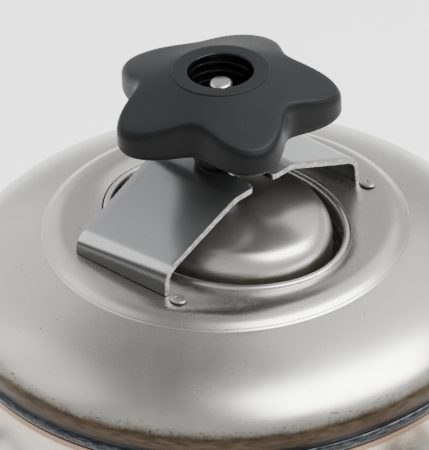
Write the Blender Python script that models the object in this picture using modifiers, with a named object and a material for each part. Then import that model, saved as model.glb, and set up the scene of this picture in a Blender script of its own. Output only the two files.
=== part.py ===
"""Pressure canner: a welded vessel with an oval inner lid, a slotted bridge and a star knob.

Metres, +Z up, standing on z = 0. Heights and radii below are written in millimetres times MM.
The vessel's own axis stands AXIS_Y behind the origin, so the origin is the middle of the footprint.
The bridge lies along X, the oval opening along Y, and the fittings sit on the -Y side of the wall.
"""

from math import acos, cos, pi, radians, sin, sqrt

import bmesh
import bpy
from mathutils import Matrix, Vector

MM = 0.001
GAP = 0.3 * MM  # clearance left between neighbouring solids
OBJECT_NAME = "pressure_canner"
ROUND_STEPS = 40  # facets round the vessel
SMALL_STEPS = 16  # facets round a fitting
DIAL_STEPS = 24  # facets round a dial instrument

# Driving dimensions of the vessel
WALL_RADIUS = 150 * MM
SHEET = 2.5 * MM
DOME_RISE = 45.3 * MM  # how far each head bulges above its straight flange
RIDGE_Z = 405 * MM  # where the top dome meets the raised ring
RIDGE_RADIUS = 99 * MM
CREST_RADIUS = 84.5 * MM
CREST_RISE = 5.0 * MM
TOP_FLANGE_Z = RIDGE_Z - 40 * MM
WELD_HEIGHT = 6.5 * MM
WELD_PROUD = 1.5 * MM
WALL_TOP_Z = TOP_FLANGE_Z - WELD_HEIGHT
BOTTOM_FLANGE_Z = 62 * MM
WALL_BOTTOM_Z = BOTTOM_FLANGE_Z + WELD_HEIGHT
BASE_RADIUS = 125 * MM

# The oval opening: half widths along X and along Y, and what fits in it
OPENING = (59.0 * MM, 73.6 * MM)
LIP_Z = RIDGE_Z + 2.4 * MM
SEAT_BOTTOM_Z = RIDGE_Z - 9.7 * MM
GASKET_THICK = 3 * MM
FLANGE_Z = SEAT_BOTTOM_Z - GASKET_THICK - 2 * GAP
LID_SHEET = 3 * MM
LID_WALL = (49.5 * MM, 63.5 * MM)
LID_TOP_Z = RIDGE_Z + 22.6 * MM

# The bridge, a bent strap with a slot from its front edge to the stud
BRIDGE_FRONT_Y = -30 * MM
BRIDGE_REAR_Y = 33 * MM
BRIDGE_BEND = 11 * MM  # radius at the outer face of every bend
BRIDGE_SHEET = 3 * MM
BRIDGE_FOOT_X = 74.2 * MM
BRIDGE_BEND_X = 73.2 * MM
BRIDGE_FLAT_X = 21.9 * MM
BRIDGE_FOOT_Z = RIDGE_Z + CREST_RISE + GAP
BRIDGE_BEND_Z = RIDGE_Z + 18.8 * MM
BRIDGE_TOP_Z = RIDGE_Z + 39.3 * MM
SKEW_OUT = 4.3 * MM  # the left foot is bent askew: its rear corner lies this much further out
SKEW_DOWN = 4.9 * MM  # and its bend this much lower
SLOT_HALF = 7 * MM

# Stud and knob
STUD_RADIUS = 6 * MM
STUD_CHAMFER = 1.1 * MM
STUD_TOP_Z = RIDGE_Z + 88.3 * MM
WASHER_THICK = 2 * MM
KNOB_BOTTOM_Z = BRIDGE_TOP_Z + WASHER_THICK + 2 * GAP
KNOB_TOP_Z = RIDGE_Z + 95 * MM
KNOB_LOBES = 5
KNOB_LOBE_ANGLE = radians(-46.2)
KNOB_STEPS = 40
BORE_RADIUS = 16.9 * MM

# Fittings on the wall
FITTING_Z = RIDGE_Z - 105 * MM
GAUGE_AZIMUTH = radians(-90)
THERMO_AZIMUTH = radians(-120)
VALVE_AZIMUTH = radians(-60)
AIR_AZIMUTH = radians(-37.5)
DIAL_REACH = 48.3 * MM  # from the wall to the front of a dial instrument
AXIS_Y = (DIAL_REACH - WELD_PROUD) / 2

# Colours (linear RGB), roughness, metallic
STEEL = ((0.56, 0.55, 0.53), 0.3, 1.0)
DARK_STEEL = ((0.10, 0.11, 0.12), 0.45, 1.0)
BRASS = ((0.72, 0.52, 0.22), 0.35, 1.0)
BLACK_PLASTIC = ((0.022, 0.024, 0.027), 0.45, 0.0)
BLACK_RUBBER = ((0.012, 0.012, 0.012), 0.7, 0.0)
DIAL_WHITE = ((0.82, 0.82, 0.80), 0.5, 0.0)
NEEDLE_RED = ((0.55, 0.03, 0.02), 0.4, 0.0)
CLEAR_GLASS = ((0.9, 0.93, 0.94), 0.05, 0.0)


def clear_scene():
    for old in list(bpy.data.objects):
        bpy.data.objects.remove(old, do_unlink=True)


def new_collection(name):
    collection = bpy.data.collections.new(name)
    bpy.context.scene.collection.children.link(collection)
    return collection


clear_scene()
PARTS = new_collection(OBJECT_NAME)
CUTTERS = new_collection(OBJECT_NAME + "_cutters")


# ---------------------------------------------------------------- helpers


def material(name, finish):
    colour, roughness, metallic = finish
    made = bpy.data.materials.new(name)
    made.use_nodes = True
    shader = made.node_tree.nodes["Principled BSDF"]
    shader.inputs["Base Color"].default_value = (*colour, 1.0)
    shader.inputs["Roughness"].default_value = roughness
    shader.inputs["Metallic"].default_value = metallic
    made.diffuse_color = (*colour, 1.0)
    return made


def add_part(name, data, finish, parent):
    """Puts a sub-part into the object's collection, with a material of its own."""
    part = bpy.data.objects.new(name, data)
    part.data.materials.append(material(name + "_finish", finish))
    part.parent = parent
    PARTS.objects.link(part)
    return part


def add_cutter(name, data, parent, matrix=None):
    cutter = bpy.data.objects.new(name, data)
    cutter.parent = parent
    if matrix:
        cutter.matrix_local = matrix
    cutter.hide_render = True
    cutter.display_type = "WIRE"
    CUTTERS.objects.link(cutter)
    return cutter


def empty(name, parent=None, matrix=None):
    guide = bpy.data.objects.new(name, None)
    guide.parent = parent
    if matrix:
        guide.matrix_local = matrix
    PARTS.objects.link(guide)
    return guide


def shade(mesh, angle=radians(35)):
    mesh.shade_smooth()
    mesh.set_sharp_from_angle(angle=angle)


def arc(centre_x, centre_z, radius, start, end, steps):
    """Points on an arc in the profile plane, angles in degrees from +X towards +Z."""
    turns = [radians(start + (end - start) * i / steps) for i in range(steps + 1)]
    return [(centre_x + radius * cos(a), centre_z + radius * sin(a)) for a in turns]


def turned(name, profile, finish, parent, closed=True, steps=ROUND_STEPS):
    """A profile of (radius, height) points turned round Z. It runs down its outer side."""
    count = len(profile)
    edges = [(i, i + 1) for i in range(count - 1)]
    if closed:
        edges.append((count - 1, 0))
    mesh = bpy.data.meshes.new(name)
    mesh.from_pydata([(r, 0, z) for r, z in profile], edges, [])
    part = add_part(name, mesh, finish, parent)
    screw = part.modifiers.new("turn", "SCREW")
    screw.steps = steps
    screw.render_steps = steps
    screw.use_merge_vertices = True
    screw.merge_threshold = 0.00001
    screw.use_smooth_shade = True
    return part


def ring_profile(inner, outer, bottom, top):
    return [(outer, top), (outer, bottom), (inner, bottom), (inner, top)]


def solidify(part, thickness):
    shell = part.modifiers.new("sheet", "SOLIDIFY")
    shell.thickness = thickness
    shell.offset = -1
    shell.use_even_offset = True
    return shell


def oval_ring(half_x, half_y, height, steps=ROUND_STEPS):
    if half_x == 0:
        return [(0, 0, height)]
    turns = [2 * pi * i / steps for i in range(steps)]
    return [(half_x * cos(t), half_y * sin(t), height) for t in turns]


def star_ring(valley, lobe):
    """A ring whose (radius, height) swings between valley and lobe five times round."""
    turns = [2 * pi * i / KNOB_STEPS + KNOB_LOBE_ANGLE for i in range(KNOB_STEPS)]
    shares = [(1 + cos(KNOB_LOBES * (t - KNOB_LOBE_ANGLE))) / 2 for t in turns]
    points = [Vector(valley).lerp(Vector(lobe), share) for share in shares]
    return [(p.x * cos(t), p.x * sin(t), p.y) for p, t in zip(points, turns)]


def nut_ring(radius, height, sides=0, steps=24):
    """A round ring, or with sides a polygon whose flats are radius from the axis."""
    turns = [2 * pi * i / steps for i in range(steps)]
    if not sides:
        return [(radius * cos(t), radius * sin(t), height) for t in turns]
    part = 2 * pi / sides
    radii = [radius / cos((t + part / 2) % part - part / 2) for t in turns]
    return [(r * cos(t), r * sin(t), height) for r, t in zip(radii, turns)]


def lofted(name, rings, finish, parent, closed=True):
    """Skins a stack of rings. They go up the outside, and a single point is a pole."""
    shape = bmesh.new()
    loops = [[shape.verts.new(point) for point in ring] for ring in rings]
    pairs = list(zip(loops, loops[1:]))
    if closed:
        pairs.append((loops[-1], loops[0]))
    for low, high in pairs:
        count = max(len(low), len(high))
        for i in range(count):
            j = (i + 1) % count
            if len(low) == 1:
                shape.faces.new((low[0], high[j], high[i]))
            elif len(high) == 1:
                shape.faces.new((low[i], low[j], high[0]))
            else:
                shape.faces.new((low[i], low[j], high[j], high[i]))
    mesh = bpy.data.meshes.new(name)
    shape.to_mesh(mesh)
    shape.free()
    shade(mesh)
    return add_part(name, mesh, finish, parent)


def cylinder_mesh(name, radius, low, high, steps=SMALL_STEPS):
    """A cylinder round Z from low to high."""
    shape = bmesh.new()
    bmesh.ops.create_cone(
        shape,
        cap_ends=True,
        segments=steps,
        radius1=radius,
        radius2=radius,
        depth=high - low,
        matrix=Matrix.Translation((0, 0, (low + high) / 2)),
    )
    mesh = bpy.data.meshes.new(name)
    shape.to_mesh(mesh)
    shape.free()
    return mesh


def boolean(part, other, operation="DIFFERENCE"):
    cut = part.modifiers.new(operation.lower(), "BOOLEAN")
    cut.operation = operation
    cut.object = other
    cut.solver = "EXACT"


def curve_to_mesh(curve, matrix):
    """The closed mesh of a curve, in place, with its caps welded on."""
    holder = bpy.data.objects.new(curve.name, curve)
    bpy.context.scene.collection.objects.link(holder)
    graph = bpy.context.evaluated_depsgraph_get()
    mesh = bpy.data.meshes.new_from_object(holder.evaluated_get(graph))
    shape = bmesh.new()
    shape.from_mesh(mesh)
    bmesh.ops.remove_doubles(shape, verts=shape.verts, dist=0.00001)
    bmesh.ops.recalc_face_normals(shape, faces=shape.faces)
    shape.to_mesh(mesh)
    shape.free()
    mesh.transform(matrix)
    bpy.data.objects.remove(holder, do_unlink=True)
    shade(mesh)
    return mesh


def plate_mesh(name, outline, half_thickness, matrix):
    """A flat outline of (x, y) points, extruded both ways."""
    curve = bpy.data.curves.new(name, "CURVE")
    curve.dimensions = "2D"
    curve.fill_mode = "BOTH"
    curve.extrude = half_thickness
    spline = curve.splines.new("POLY")
    spline.points.add(len(outline) - 1)
    for point, (x, y) in zip(spline.points, outline):
        point.co = (x, y, 0, 1)
    spline.use_cyclic_u = True
    return curve_to_mesh(curve, matrix)


def rod_mesh(name, route, radius, resolution=2):
    """A round rod along a route of points."""
    curve = bpy.data.curves.new(name, "CURVE")
    curve.dimensions = "3D"
    curve.bevel_depth = radius
    curve.bevel_resolution = resolution
    curve.use_fill_caps = True
    spline = curve.splines.new("POLY")
    spline.points.add(len(route) - 1)
    for point, place in zip(spline.points, route):
        point.co = (*place, 1)
    return curve_to_mesh(curve, Matrix.Identity(4))


def rounded(points, radius, steps):
    """A path through points of any dimension, each inner corner turned into an arc."""
    corners = [Vector(p) for p in points]
    path = [corners[0]]
    for before, corner, after in zip(corners, corners[1:], corners[2:]):
        back = (before - corner).normalized()
        ahead = (after - corner).normalized()
        half = back.angle(ahead) / 2
        reach = radius * cos(half) / sin(half)
        centre = corner + (back + ahead).normalized() * radius / sin(half)
        start = corner + back * reach - centre
        end = corner + ahead * reach - centre
        for i in range(steps + 1):
            path.append(centre + start.slerp(end, i / steps) * radius)
    path.append(corners[-1])
    return path


def ribbon(path, thickness):
    """The outline of a strip of even thickness under a 2D path."""
    under = []
    for i, point in enumerate(path):
        ahead = path[min(i + 1, len(path) - 1)] - path[max(i - 1, 0)]
        ahead.normalize()
        under.append(point + Vector((ahead.y, -ahead.x)) * thickness)
    return [tuple(p) for p in path] + [tuple(p) for p in reversed(under)]


# ---------------------------------------------------------------- vessel


def dome(height, up, end_radius, steps):
    """(radius, height) points of a head's outer curve, from its flange to end_radius."""
    last = acos(end_radius / WALL_RADIUS)
    turns = [last * i / steps for i in range(steps + 1)]
    return [(WALL_RADIUS * cos(t), height + up * DOME_RISE * sin(t)) for t in turns]


def make_top_head(axis):
    """Flange, dome, raised ring and the oval lip, as one sheet."""
    round_part = [(WALL_RADIUS, TOP_FLANGE_Z)]
    round_part += dome(RIDGE_Z - 34 * MM, 1, RIDGE_RADIUS, 6)
    round_part += [
        (96 * MM, RIDGE_Z + 1.2 * MM),
        (92 * MM, RIDGE_Z + 3.3 * MM),
        (88 * MM, RIDGE_Z + 4.6 * MM),
    ]
    rings = [oval_ring(r, r, z) for r, z in round_part]
    for share in (0, 0.35, 0.7, 1):
        half_x = CREST_RADIUS + (OPENING[0] - CREST_RADIUS) * share
        half_y = CREST_RADIUS + (OPENING[1] - CREST_RADIUS) * share
        drop = (RIDGE_Z + CREST_RISE - LIP_Z) * share**2
        rings.append(oval_ring(half_x, half_y, RIDGE_Z + CREST_RISE - drop))
    head = lofted("top_head", rings, STEEL, axis, closed=False)
    solidify(head, SHEET)


def make_seat_ring(axis):
    """The ring round the opening, with a rounded top and a flat seat below."""
    outer = [size - GAP for size in OPENING]
    steps = ((0, SEAT_BOTTOM_Z), (0, LIP_Z - 0.6 * MM), (0.8, LIP_Z + 0.8 * MM))
    steps += ((2.3, LIP_Z + 1.3 * MM), (3.6, LIP_Z + 0.5 * MM), (4.3, LIP_Z - 1.2 * MM))
    steps += ((4.3, SEAT_BOTTOM_Z),)
    rings = [oval_ring(outer[0] - d * MM, outer[1] - d * MM, z) for d, z in steps]
    lofted("seat_ring", rings, STEEL, axis)


def make_stops(axis):
    """Small raised stops in front of the bridge's feet."""
    for side, name in ((-1, "bridge_stop_left"), (1, "bridge_stop_right")):
        sizes = ((0, 0, 0), (3.6, 5.4, 0), (3.4, 5.1, 0.9), (2.2, 3.3, 1.7), (0, 0, 2.1))
        rings = [oval_ring(x * MM, y * MM, z * MM, 16) for x, y, z in sizes]
        stop = lofted(name, rings, STEEL, axis, closed=False)
        stop.location = (side * 72.5 * MM, -36.6 * MM, BRIDGE_FOOT_Z)


def make_weld(name, bottom, axis):
    """A bead between two edges, a little proud of the wall."""
    middle = bottom + WELD_HEIGHT / 2
    bulge = [
        (WALL_RADIUS - 0.2 * MM, bottom + WELD_HEIGHT - GAP),
        (WALL_RADIUS + WELD_PROUD * 0.8, middle + WELD_HEIGHT * 0.25),
        (WALL_RADIUS + WELD_PROUD, middle),
        (WALL_RADIUS + WELD_PROUD * 0.8, middle - WELD_HEIGHT * 0.25),
        (WALL_RADIUS - 0.2 * MM, bottom + GAP),
    ]
    inside = [
        (WALL_RADIUS - SHEET, bottom + GAP),
        (WALL_RADIUS - SHEET, bottom + WELD_HEIGHT - GAP),
    ]
    turned(name, bulge + inside, DARK_STEEL, axis)


def make_wall(axis, ports):
    profile = ring_profile(WALL_RADIUS - SHEET, WALL_RADIUS, WALL_BOTTOM_Z, WALL_TOP_Z)
    wall = turned("body_wall", profile, STEEL, axis)
    for port, radius in ports:
        mesh = cylinder_mesh("wall_hole", radius, -20 * MM, 20 * MM, 16)
        boolean(wall, add_cutter("wall_hole", mesh, port))


def make_bottom(axis):
    profile = dome(BOTTOM_FLANGE_Z - 4 * MM, -1, 0, 7)
    profile.insert(0, (WALL_RADIUS, BOTTOM_FLANGE_Z))
    profile[-1] = (0, profile[-1][1])
    head = turned("bottom_head", profile, STEEL, axis, closed=False)
    solidify(head, SHEET)
    # The skirt stands under the dome and carries the vessel on a turned-out foot.
    inner = BASE_RADIUS - 3 * MM
    slope = sqrt(1 - (inner / WALL_RADIUS) ** 2)
    top = BOTTOM_FLANGE_Z - 4 * MM - DOME_RISE * slope - 2 * GAP
    foot = [
        (BASE_RADIUS, top),
        (BASE_RADIUS, 6 * MM),
        (BASE_RADIUS + 8 * MM, 2.5 * MM),
        (BASE_RADIUS + 8 * MM, 0),
        (inner, 0),
        (inner, top),
    ]
    turned("base_ring", foot, STEEL, axis)


def make_grate(axis):
    """A plate with seven holes, resting in the bottom head's curve under the jars."""
    low = BOTTOM_FLANGE_Z - 15.7 * MM
    mesh = cylinder_mesh("jar_grate", 139 * MM, low, low + 2 * MM, ROUND_STEPS)
    grate = add_part("jar_grate", mesh, STEEL, axis)
    places = [(0, 0)]
    places += [(85 * MM * cos(i * pi / 3), 85 * MM * sin(i * pi / 3)) for i in range(6)]
    for x, y in places:
        hole = cylinder_mesh("grate_hole", 20 * MM, 0, 100 * MM, 12)
        boolean(grate, add_cutter("grate_hole", hole, axis, Matrix.Translation((x, y, 0))))


def make_handles(axis):
    """Bent rods whose ends meet the wall square on."""
    spread = radians(19.5)
    root = WALL_RADIUS + 2 * GAP
    out = 183 * MM
    for side, name in ((-1, "handle_left"), (1, "handle_right")):
        near = (side * root * cos(spread), root * sin(spread), FITTING_Z)
        far = (side * out, out * sin(spread) / cos(spread), FITTING_Z)
        points = [near, far, (far[0], -far[1], far[2]), (near[0], -near[1], near[2])]
        route = rounded(points, 18 * MM, 6)
        handle = add_part(name, rod_mesh(name, route, 5 * MM, 3), STEEL, axis)
        shade(handle.data)


# ---------------------------------------------------------------- lid


def make_lid(axis):
    """Oval lid: a flange for the gasket, a short wall and a dome with the stud."""
    shoulder = 13 * MM
    foot = ((14.0, 0), (2.0, 0), (0.6, 0.6), (0, 2.0))
    rings = [
        oval_ring(LID_WALL[0] + d * MM, LID_WALL[1] + d * MM, FLANGE_Z + z * MM)
        for d, z in foot
    ]
    for inset, height in arc(-shoulder, RIDGE_Z + 5 * MM, shoulder, 0, 75, 4):
        rings.append(oval_ring(LID_WALL[0] + inset, LID_WALL[1] + inset, height))
    for share in (0.68, 0.36, 0):
        height = LID_TOP_Z - 5 * MM * share**2
        rings.append(oval_ring(LID_WALL[0] * share, LID_WALL[1] * share, height))
    lid = lofted("inner_lid", rings, STEEL, axis, closed=False)
    solidify(lid, LID_SHEET)
    low, high = FLANGE_Z + GAP, FLANGE_Z + GAP + GASKET_THICK
    corners = ((12.7, low), (12.7, high), (2.8, high), (2.8, low))
    rings = [oval_ring(LID_WALL[0] + d * MM, LID_WALL[1] + d * MM, z) for d, z in corners]
    lofted("lid_gasket", rings, BLACK_RUBBER, axis)
    start = LID_TOP_Z + GAP
    stud = [
        (0, STUD_TOP_Z),
        (STUD_RADIUS - STUD_CHAMFER, STUD_TOP_Z),
        (STUD_RADIUS, STUD_TOP_Z - STUD_CHAMFER),
        (STUD_RADIUS, start),
        (0, start),
    ]
    turned("lid_stud", stud, STEEL, axis, closed=False, steps=SMALL_STEPS)
    collar = ring_profile(STUD_RADIUS + GAP, 11 * MM, start, start + 5 * MM)
    turned("stud_collar", collar, STEEL, axis, steps=SMALL_STEPS)


# ---------------------------------------------------------------- bridge


def skew_left_foot(mesh):
    """Moves the left wing's rear side out and down, least at the flat top and the front."""
    for vertex in mesh.vertices:
        place = vertex.co
        back = (place.y - BRIDGE_FRONT_Y) / (BRIDGE_REAR_Y - BRIDGE_FRONT_Y)
        along = (-place.x - BRIDGE_FLAT_X) / (BRIDGE_BEND_X - BRIDGE_FLAT_X)
        along = min(max(along, 0), 1)
        height = (place.z - BRIDGE_FOOT_Z) / (BRIDGE_BEND_Z - BRIDGE_FOOT_Z)
        place.x -= SKEW_OUT * back * along
        place.z -= SKEW_DOWN * back * along * min(max(height, 0), 1)


def make_bridge(axis):
    """The bent strap, cut by a slot that opens at its front edge."""
    points = [
        (-BRIDGE_FOOT_X, BRIDGE_FOOT_Z),
        (-BRIDGE_BEND_X, BRIDGE_BEND_Z),
        (-BRIDGE_FLAT_X, BRIDGE_TOP_Z),
        (BRIDGE_FLAT_X, BRIDGE_TOP_Z),
        (BRIDGE_BEND_X, BRIDGE_BEND_Z),
        (BRIDGE_FOOT_X, BRIDGE_FOOT_Z),
    ]
    outline = ribbon(rounded(points, BRIDGE_BEND, 5), BRIDGE_SHEET)
    middle = Matrix.Translation((0, (BRIDGE_FRONT_Y + BRIDGE_REAR_Y) / 2, 0))
    upright = middle @ Matrix.Rotation(pi / 2, 4, "X")
    mesh = plate_mesh("bridge_strap", outline, (BRIDGE_REAR_Y - BRIDGE_FRONT_Y) / 2, upright)
    skew_left_foot(mesh)
    strap = add_part("bridge_strap", mesh, STEEL, axis)
    mouth = 3.5 * MM  # radius of the rounded corners where the slot opens
    front = BRIDGE_FRONT_Y
    slot = arc(0, 0, SLOT_HALF, 0, 180, 8)
    slot += arc(-SLOT_HALF - mouth, front + mouth, mouth, 0, -90, 4)
    slot += [(-SLOT_HALF - mouth, front - 10 * MM), (SLOT_HALF + mouth, front - 10 * MM)]
    slot += arc(SLOT_HALF + mouth, front + mouth, mouth, 270, 180, 4)
    lift = Matrix.Translation((0, 0, BRIDGE_TOP_Z))
    boolean(strap, add_cutter("bridge_slot", plate_mesh("bridge_slot", slot, 20 * MM, lift), axis))


# ---------------------------------------------------------------- knob


def make_knob(axis):
    """Five-lobed knob: hub, underside, lobed edge, cone-shaped top, ring and bore."""
    hub = ((6.6, 0), (15.5, 0), (16, 1.5), (16, 9), (18.5, 14.5))
    # (radius, height) above the hub's foot in a valley, then at a lobe's tip
    lobes = (
        ((26, 19), (31, 19)),
        ((37, 22.5), (51, 22.5)),
        ((43, 26.5), (60, 25.5)),
        ((44.5, 30), (62.5, 28.5)),
        ((44.5, 42), (62.5, 35.5)),
        ((43.5, 45.3), (61.3, 39)),
        ((41, 47.3), (57.5, 41.4)),
        ((33, 50.2), (41, 47)),
    )
    crown = ((25.3, 52.7), (24.6, 53.1))
    sizes = [(point, point) for point in hub] + list(lobes) + [(p, p) for p in crown]
    rings = []
    for pair in sizes:
        valley, lobe = [(r * MM, KNOB_BOTTOM_Z + z * MM) for r, z in pair]
        rings.append(star_ring(valley, lobe))
    bore_floor = KNOB_BOTTOM_Z + 26 * MM
    pocket_floor = KNOB_BOTTOM_Z + 9 * MM
    bore = (
        (BORE_RADIUS + 0.6 * MM, KNOB_TOP_Z),
        (BORE_RADIUS, KNOB_TOP_Z - 0.6 * MM),
        (BORE_RADIUS, bore_floor),
        (11.3 * MM, bore_floor),
        (11.3 * MM, pocket_floor),
        (6.6 * MM, pocket_floor),
    )
    rings += [star_ring(point, point) for point in bore]
    lofted("star_knob", rings, BLACK_PLASTIC, axis)
    nut = ring_profile(STUD_RADIUS + GAP, 11 * MM, pocket_floor + GAP, bore_floor - GAP)
    turned("knob_nut", nut, BRASS, axis, steps=24)
    low = BRIDGE_TOP_Z + GAP
    washer = ring_profile(STUD_RADIUS + 2 * GAP, 13 * MM, low, low + WASHER_THICK)
    turned("thrust_washer", washer, BLACK_PLASTIC, axis, steps=24)


# ---------------------------------------------------------------- fittings


def make_port(name, azimuth, axis):
    """A guide on the wall: its Z points straight out and its Y points up."""
    outward = Vector((cos(azimuth), sin(azimuth), 0))
    up = Vector((0, 0, 1))
    turn = Matrix((up.cross(outward), up, outward)).transposed().to_4x4()
    place = Matrix.Translation(outward * WALL_RADIUS + up * FITTING_Z)
    return empty(name, axis, place @ turn)


def make_socket(name, inner, outer, length, port):
    profile = ring_profile(inner, outer, GAP, length)
    turned(name, profile, STEEL, port, steps=SMALL_STEPS)


def make_stem(name, probe, port):
    """Threaded shank through the wall, a hexagon and a neck, pushed probe deep inside."""
    steps = (
        (0, -probe, 0),
        (3.2, -probe, 0),
        (3.2, -14, 0),
        (6.9, -14, 0),
        (6.9, 12.3, 0),
        (10.5, 12.3, 6),
        (10.5, 20, 6),
        (5.5, 20, 0),
        (5.5, 26, 0),
        (0, 26, 0),
    )
    rings = []
    for radius, height, sides in steps:
        pole = [(0, 0, height * MM)]
        rings.append(nut_ring(radius * MM, height * MM, sides) if radius else pole)
    lofted(name, rings, BRASS, port, closed=False)


def needle_outline(tip, tail, hub):
    """A pointer along +X with a round hub and a blunt tail."""
    side = arc(0, 0, hub, 25, 155, 5)
    other = arc(0, 0, hub, 205, 335, 5)
    blunt = [(-tail, 0.9 * MM), (-tail, -0.9 * MM)]
    point = [(tip, -0.3 * MM), (tip, 0.3 * MM)]
    return side + blunt + other + point


def make_instrument(prefix, probe, start_angle, port):
    """A round dial instrument: stem, case, dial, pointer, window and bezel."""
    make_socket(prefix + "_socket", 7.2 * MM, 12 * MM, 12 * MM, port)
    make_stem(prefix + "_stem", probe, port)
    case = [
        (0, 28),
        (26, 28),
        (26, 37),
        (28.5, 37),
        (28.5, 44),
        (30, 44),
        (30, 29),
        (27.5, 26.3),
        (0, 26.3),
    ]
    profile = [(r * MM, z * MM) for r, z in case]
    turned(prefix + "_case", profile, STEEL, port, closed=False, steps=DIAL_STEPS)
    dial = ring_profile(1.8 * MM, 28.2 * MM, 37.3 * MM, 38.3 * MM)
    turned(prefix + "_dial", dial, DIAL_WHITE, port, steps=DIAL_STEPS)
    outline = needle_outline(22 * MM, 8 * MM, 2.6 * MM)
    turn = Matrix.Translation((0, 0, 40 * MM)) @ Matrix.Rotation(start_angle, 4, "Z")
    mesh = plate_mesh(prefix + "_needle", outline, 0.4 * MM, turn)
    needle = add_part(prefix + "_needle", mesh, NEEDLE_RED, port)
    spindle = cylinder_mesh("spindle", 1.2 * MM, 31 * MM, 41.2 * MM, 12)
    boolean(needle, add_cutter(prefix + "_spindle", spindle, port), "UNION")
    window = [(0, 46.3 * MM), (29.7 * MM, 46.3 * MM), (29.7 * MM, 44.3 * MM), (0, 44.3 * MM)]
    turned(prefix + "_window", window, CLEAR_GLASS, port, closed=False, steps=DIAL_STEPS)
    bezel = [
        (27, 48.3),
        (31, 48.3),
        (32, 47.3),
        (32, 36),
        (30.4, 36),
        (30.4, 46.6),
        (27, 46.6),
    ]
    profile = [(r * MM, z * MM) for r, z in bezel]
    turned(prefix + "_bezel", profile, STEEL, port, steps=DIAL_STEPS)


def make_safety_valve(port):
    """An elbow body with an upright chamber, a sprung plunger, a cap and a pull ring."""
    make_socket("valve_socket", 7.2 * MM, 12 * MM, 12 * MM, port)
    stand = Matrix.Translation((0, 0, 27 * MM)) @ Matrix.Rotation(-pi / 2, 4, "X")
    upright = empty("valve_axis", port, stand)
    chamber = cylinder_mesh("valve_body", 11 * MM, -9 * MM, 34 * MM, 24)
    body = add_part("valve_body", chamber, BRASS, upright)
    shank = cylinder_mesh("shank", 6.9 * MM, -14 * MM, 20 * MM)
    boolean(body, add_cutter("valve_shank", shank, port), "UNION")
    inside = cylinder_mesh("chamber", 8 * MM, 4 * MM, 50 * MM)
    boolean(body, add_cutter("valve_chamber", inside, upright))
    seat = cylinder_mesh("seat", 4 * MM, 0, 10 * MM, 12)
    boolean(body, add_cutter("valve_seat", seat, upright))
    feed = cylinder_mesh("feed", 4 * MM, -20 * MM, 27 * MM, 12)
    boolean(body, add_cutter("valve_feed", feed, port))
    vent = cylinder_mesh("vent", 2.5 * MM, 0, 60 * MM, 10)
    lift = Matrix.Translation((0, 24 * MM, 0))
    boolean(body, add_cutter("valve_vent", vent, port, lift))
    plunger = [(0, 46), (1.8, 46), (1.8, 7.3), (6.5, 7.3), (6.5, 4.3), (0, 4.3)]
    profile = [(r * MM, z * MM) for r, z in plunger]
    turned("valve_plunger", profile, BRASS, upright, closed=False, steps=16)
    turns, low, high = 5, 8.3 * MM, 33.4 * MM
    count = turns * 8
    coil = []
    for i in range(count + 1):
        angle = 2 * pi * turns * i / count
        height = low + (high - low) * i / count
        coil.append((5 * MM * cos(angle), 5 * MM * sin(angle), height))
    mesh = rod_mesh("valve_spring", coil, 0.6 * MM)
    add_part("valve_spring", mesh, STEEL, upright)
    cap = (
        (10.5, 34.3, 6),
        (10.5, 39, 6),
        (8, 40.5, 0),
        (2.3, 40.5, 0),
        (2.3, 34.3, 0),
    )
    rings = [nut_ring(r * MM, z * MM, sides) for r, z, sides in cap]
    lofted("valve_cap", rings, BRASS, upright)
    shape = [(6.5 + 1.1 * cos(a), 1.1 * sin(a)) for a in (-pi / 4 * i for i in range(8))]
    profile = [(r * MM, z * MM) for r, z in shape]
    ring = turned("valve_ring", profile, STEEL, upright, steps=16)
    ring.location = (0, 0, 46 * MM + GAP + 7.6 * MM)
    ring.rotation_euler = (pi / 2, 0, 0)


def make_air_valve(port):
    """A tyre-type valve: socket, hollow stem, spring-loaded pin and a screw cap."""
    make_socket("air_socket", 4.6 * MM, 8 * MM, 8 * MM, port)
    stem = (
        (2, -8, 0),
        (4.3, -8, 0),
        (4.3, 8.3, 0),
        (6.5, 8.3, 6),
        (6.5, 13, 6),
        (3.9, 13, 0),
        (3.9, 29, 0),
        (2, 29, 0),
    )
    rings = [nut_ring(r * MM, z * MM, sides) for r, z, sides in stem]
    lofted("air_stem", rings, BRASS, port)
    pin = [(0, 28.4), (0.9, 28.4), (0.9, -6), (0, -6)]
    profile = [(r * MM, z * MM) for r, z in pin]
    turned("air_pin", profile, BRASS, port, closed=False, steps=12)
    cap = [(0, 33), (5, 33), (5.8, 32), (5.8, 17), (4.3, 17), (4.3, 31), (0, 31)]
    profile = [(r * MM, z * MM) for r, z in cap]
    turned("air_cap", profile, BLACK_PLASTIC, port, closed=False, steps=16)


def main():
    axis = empty("vessel_axis", None, Matrix.Translation((0, AXIS_Y, 0)))
    gauge = make_port("gauge_port", GAUGE_AZIMUTH, axis)
    thermo = make_port("thermo_port", THERMO_AZIMUTH, axis)
    valve = make_port("valve_port", VALVE_AZIMUTH, axis)
    air = make_port("air_port", AIR_AZIMUTH, axis)
    make_top_head(axis)
    make_seat_ring(axis)
    make_stops(axis)
    make_weld("upper_seam_weld", WALL_TOP_Z, axis)
    make_weld("lower_seam_weld", BOTTOM_FLANGE_Z, axis)
    wide, narrow = 7.2 * MM, 4.6 * MM
    make_wall(axis, ((gauge, wide), (thermo, wide), (valve, wide), (air, narrow)))
    make_bottom(axis)
    make_grate(axis)
    make_handles(axis)
    make_lid(axis)
    make_bridge(axis)
    make_knob(axis)
    make_instrument("gauge", 16, radians(225), gauge)
    make_instrument("thermo", 75, radians(189), thermo)
    make_safety_valve(valve)
    make_air_valve(air)
    bpy.context.view_layer.update()


main()
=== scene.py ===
"""Finished look of a pressure canner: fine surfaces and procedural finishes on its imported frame.

Shapes are worked out in millimetres, +Z up, with the vessel's own axis on x = 0, y = 0.
Piece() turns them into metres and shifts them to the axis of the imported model.
"""

import math

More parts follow.
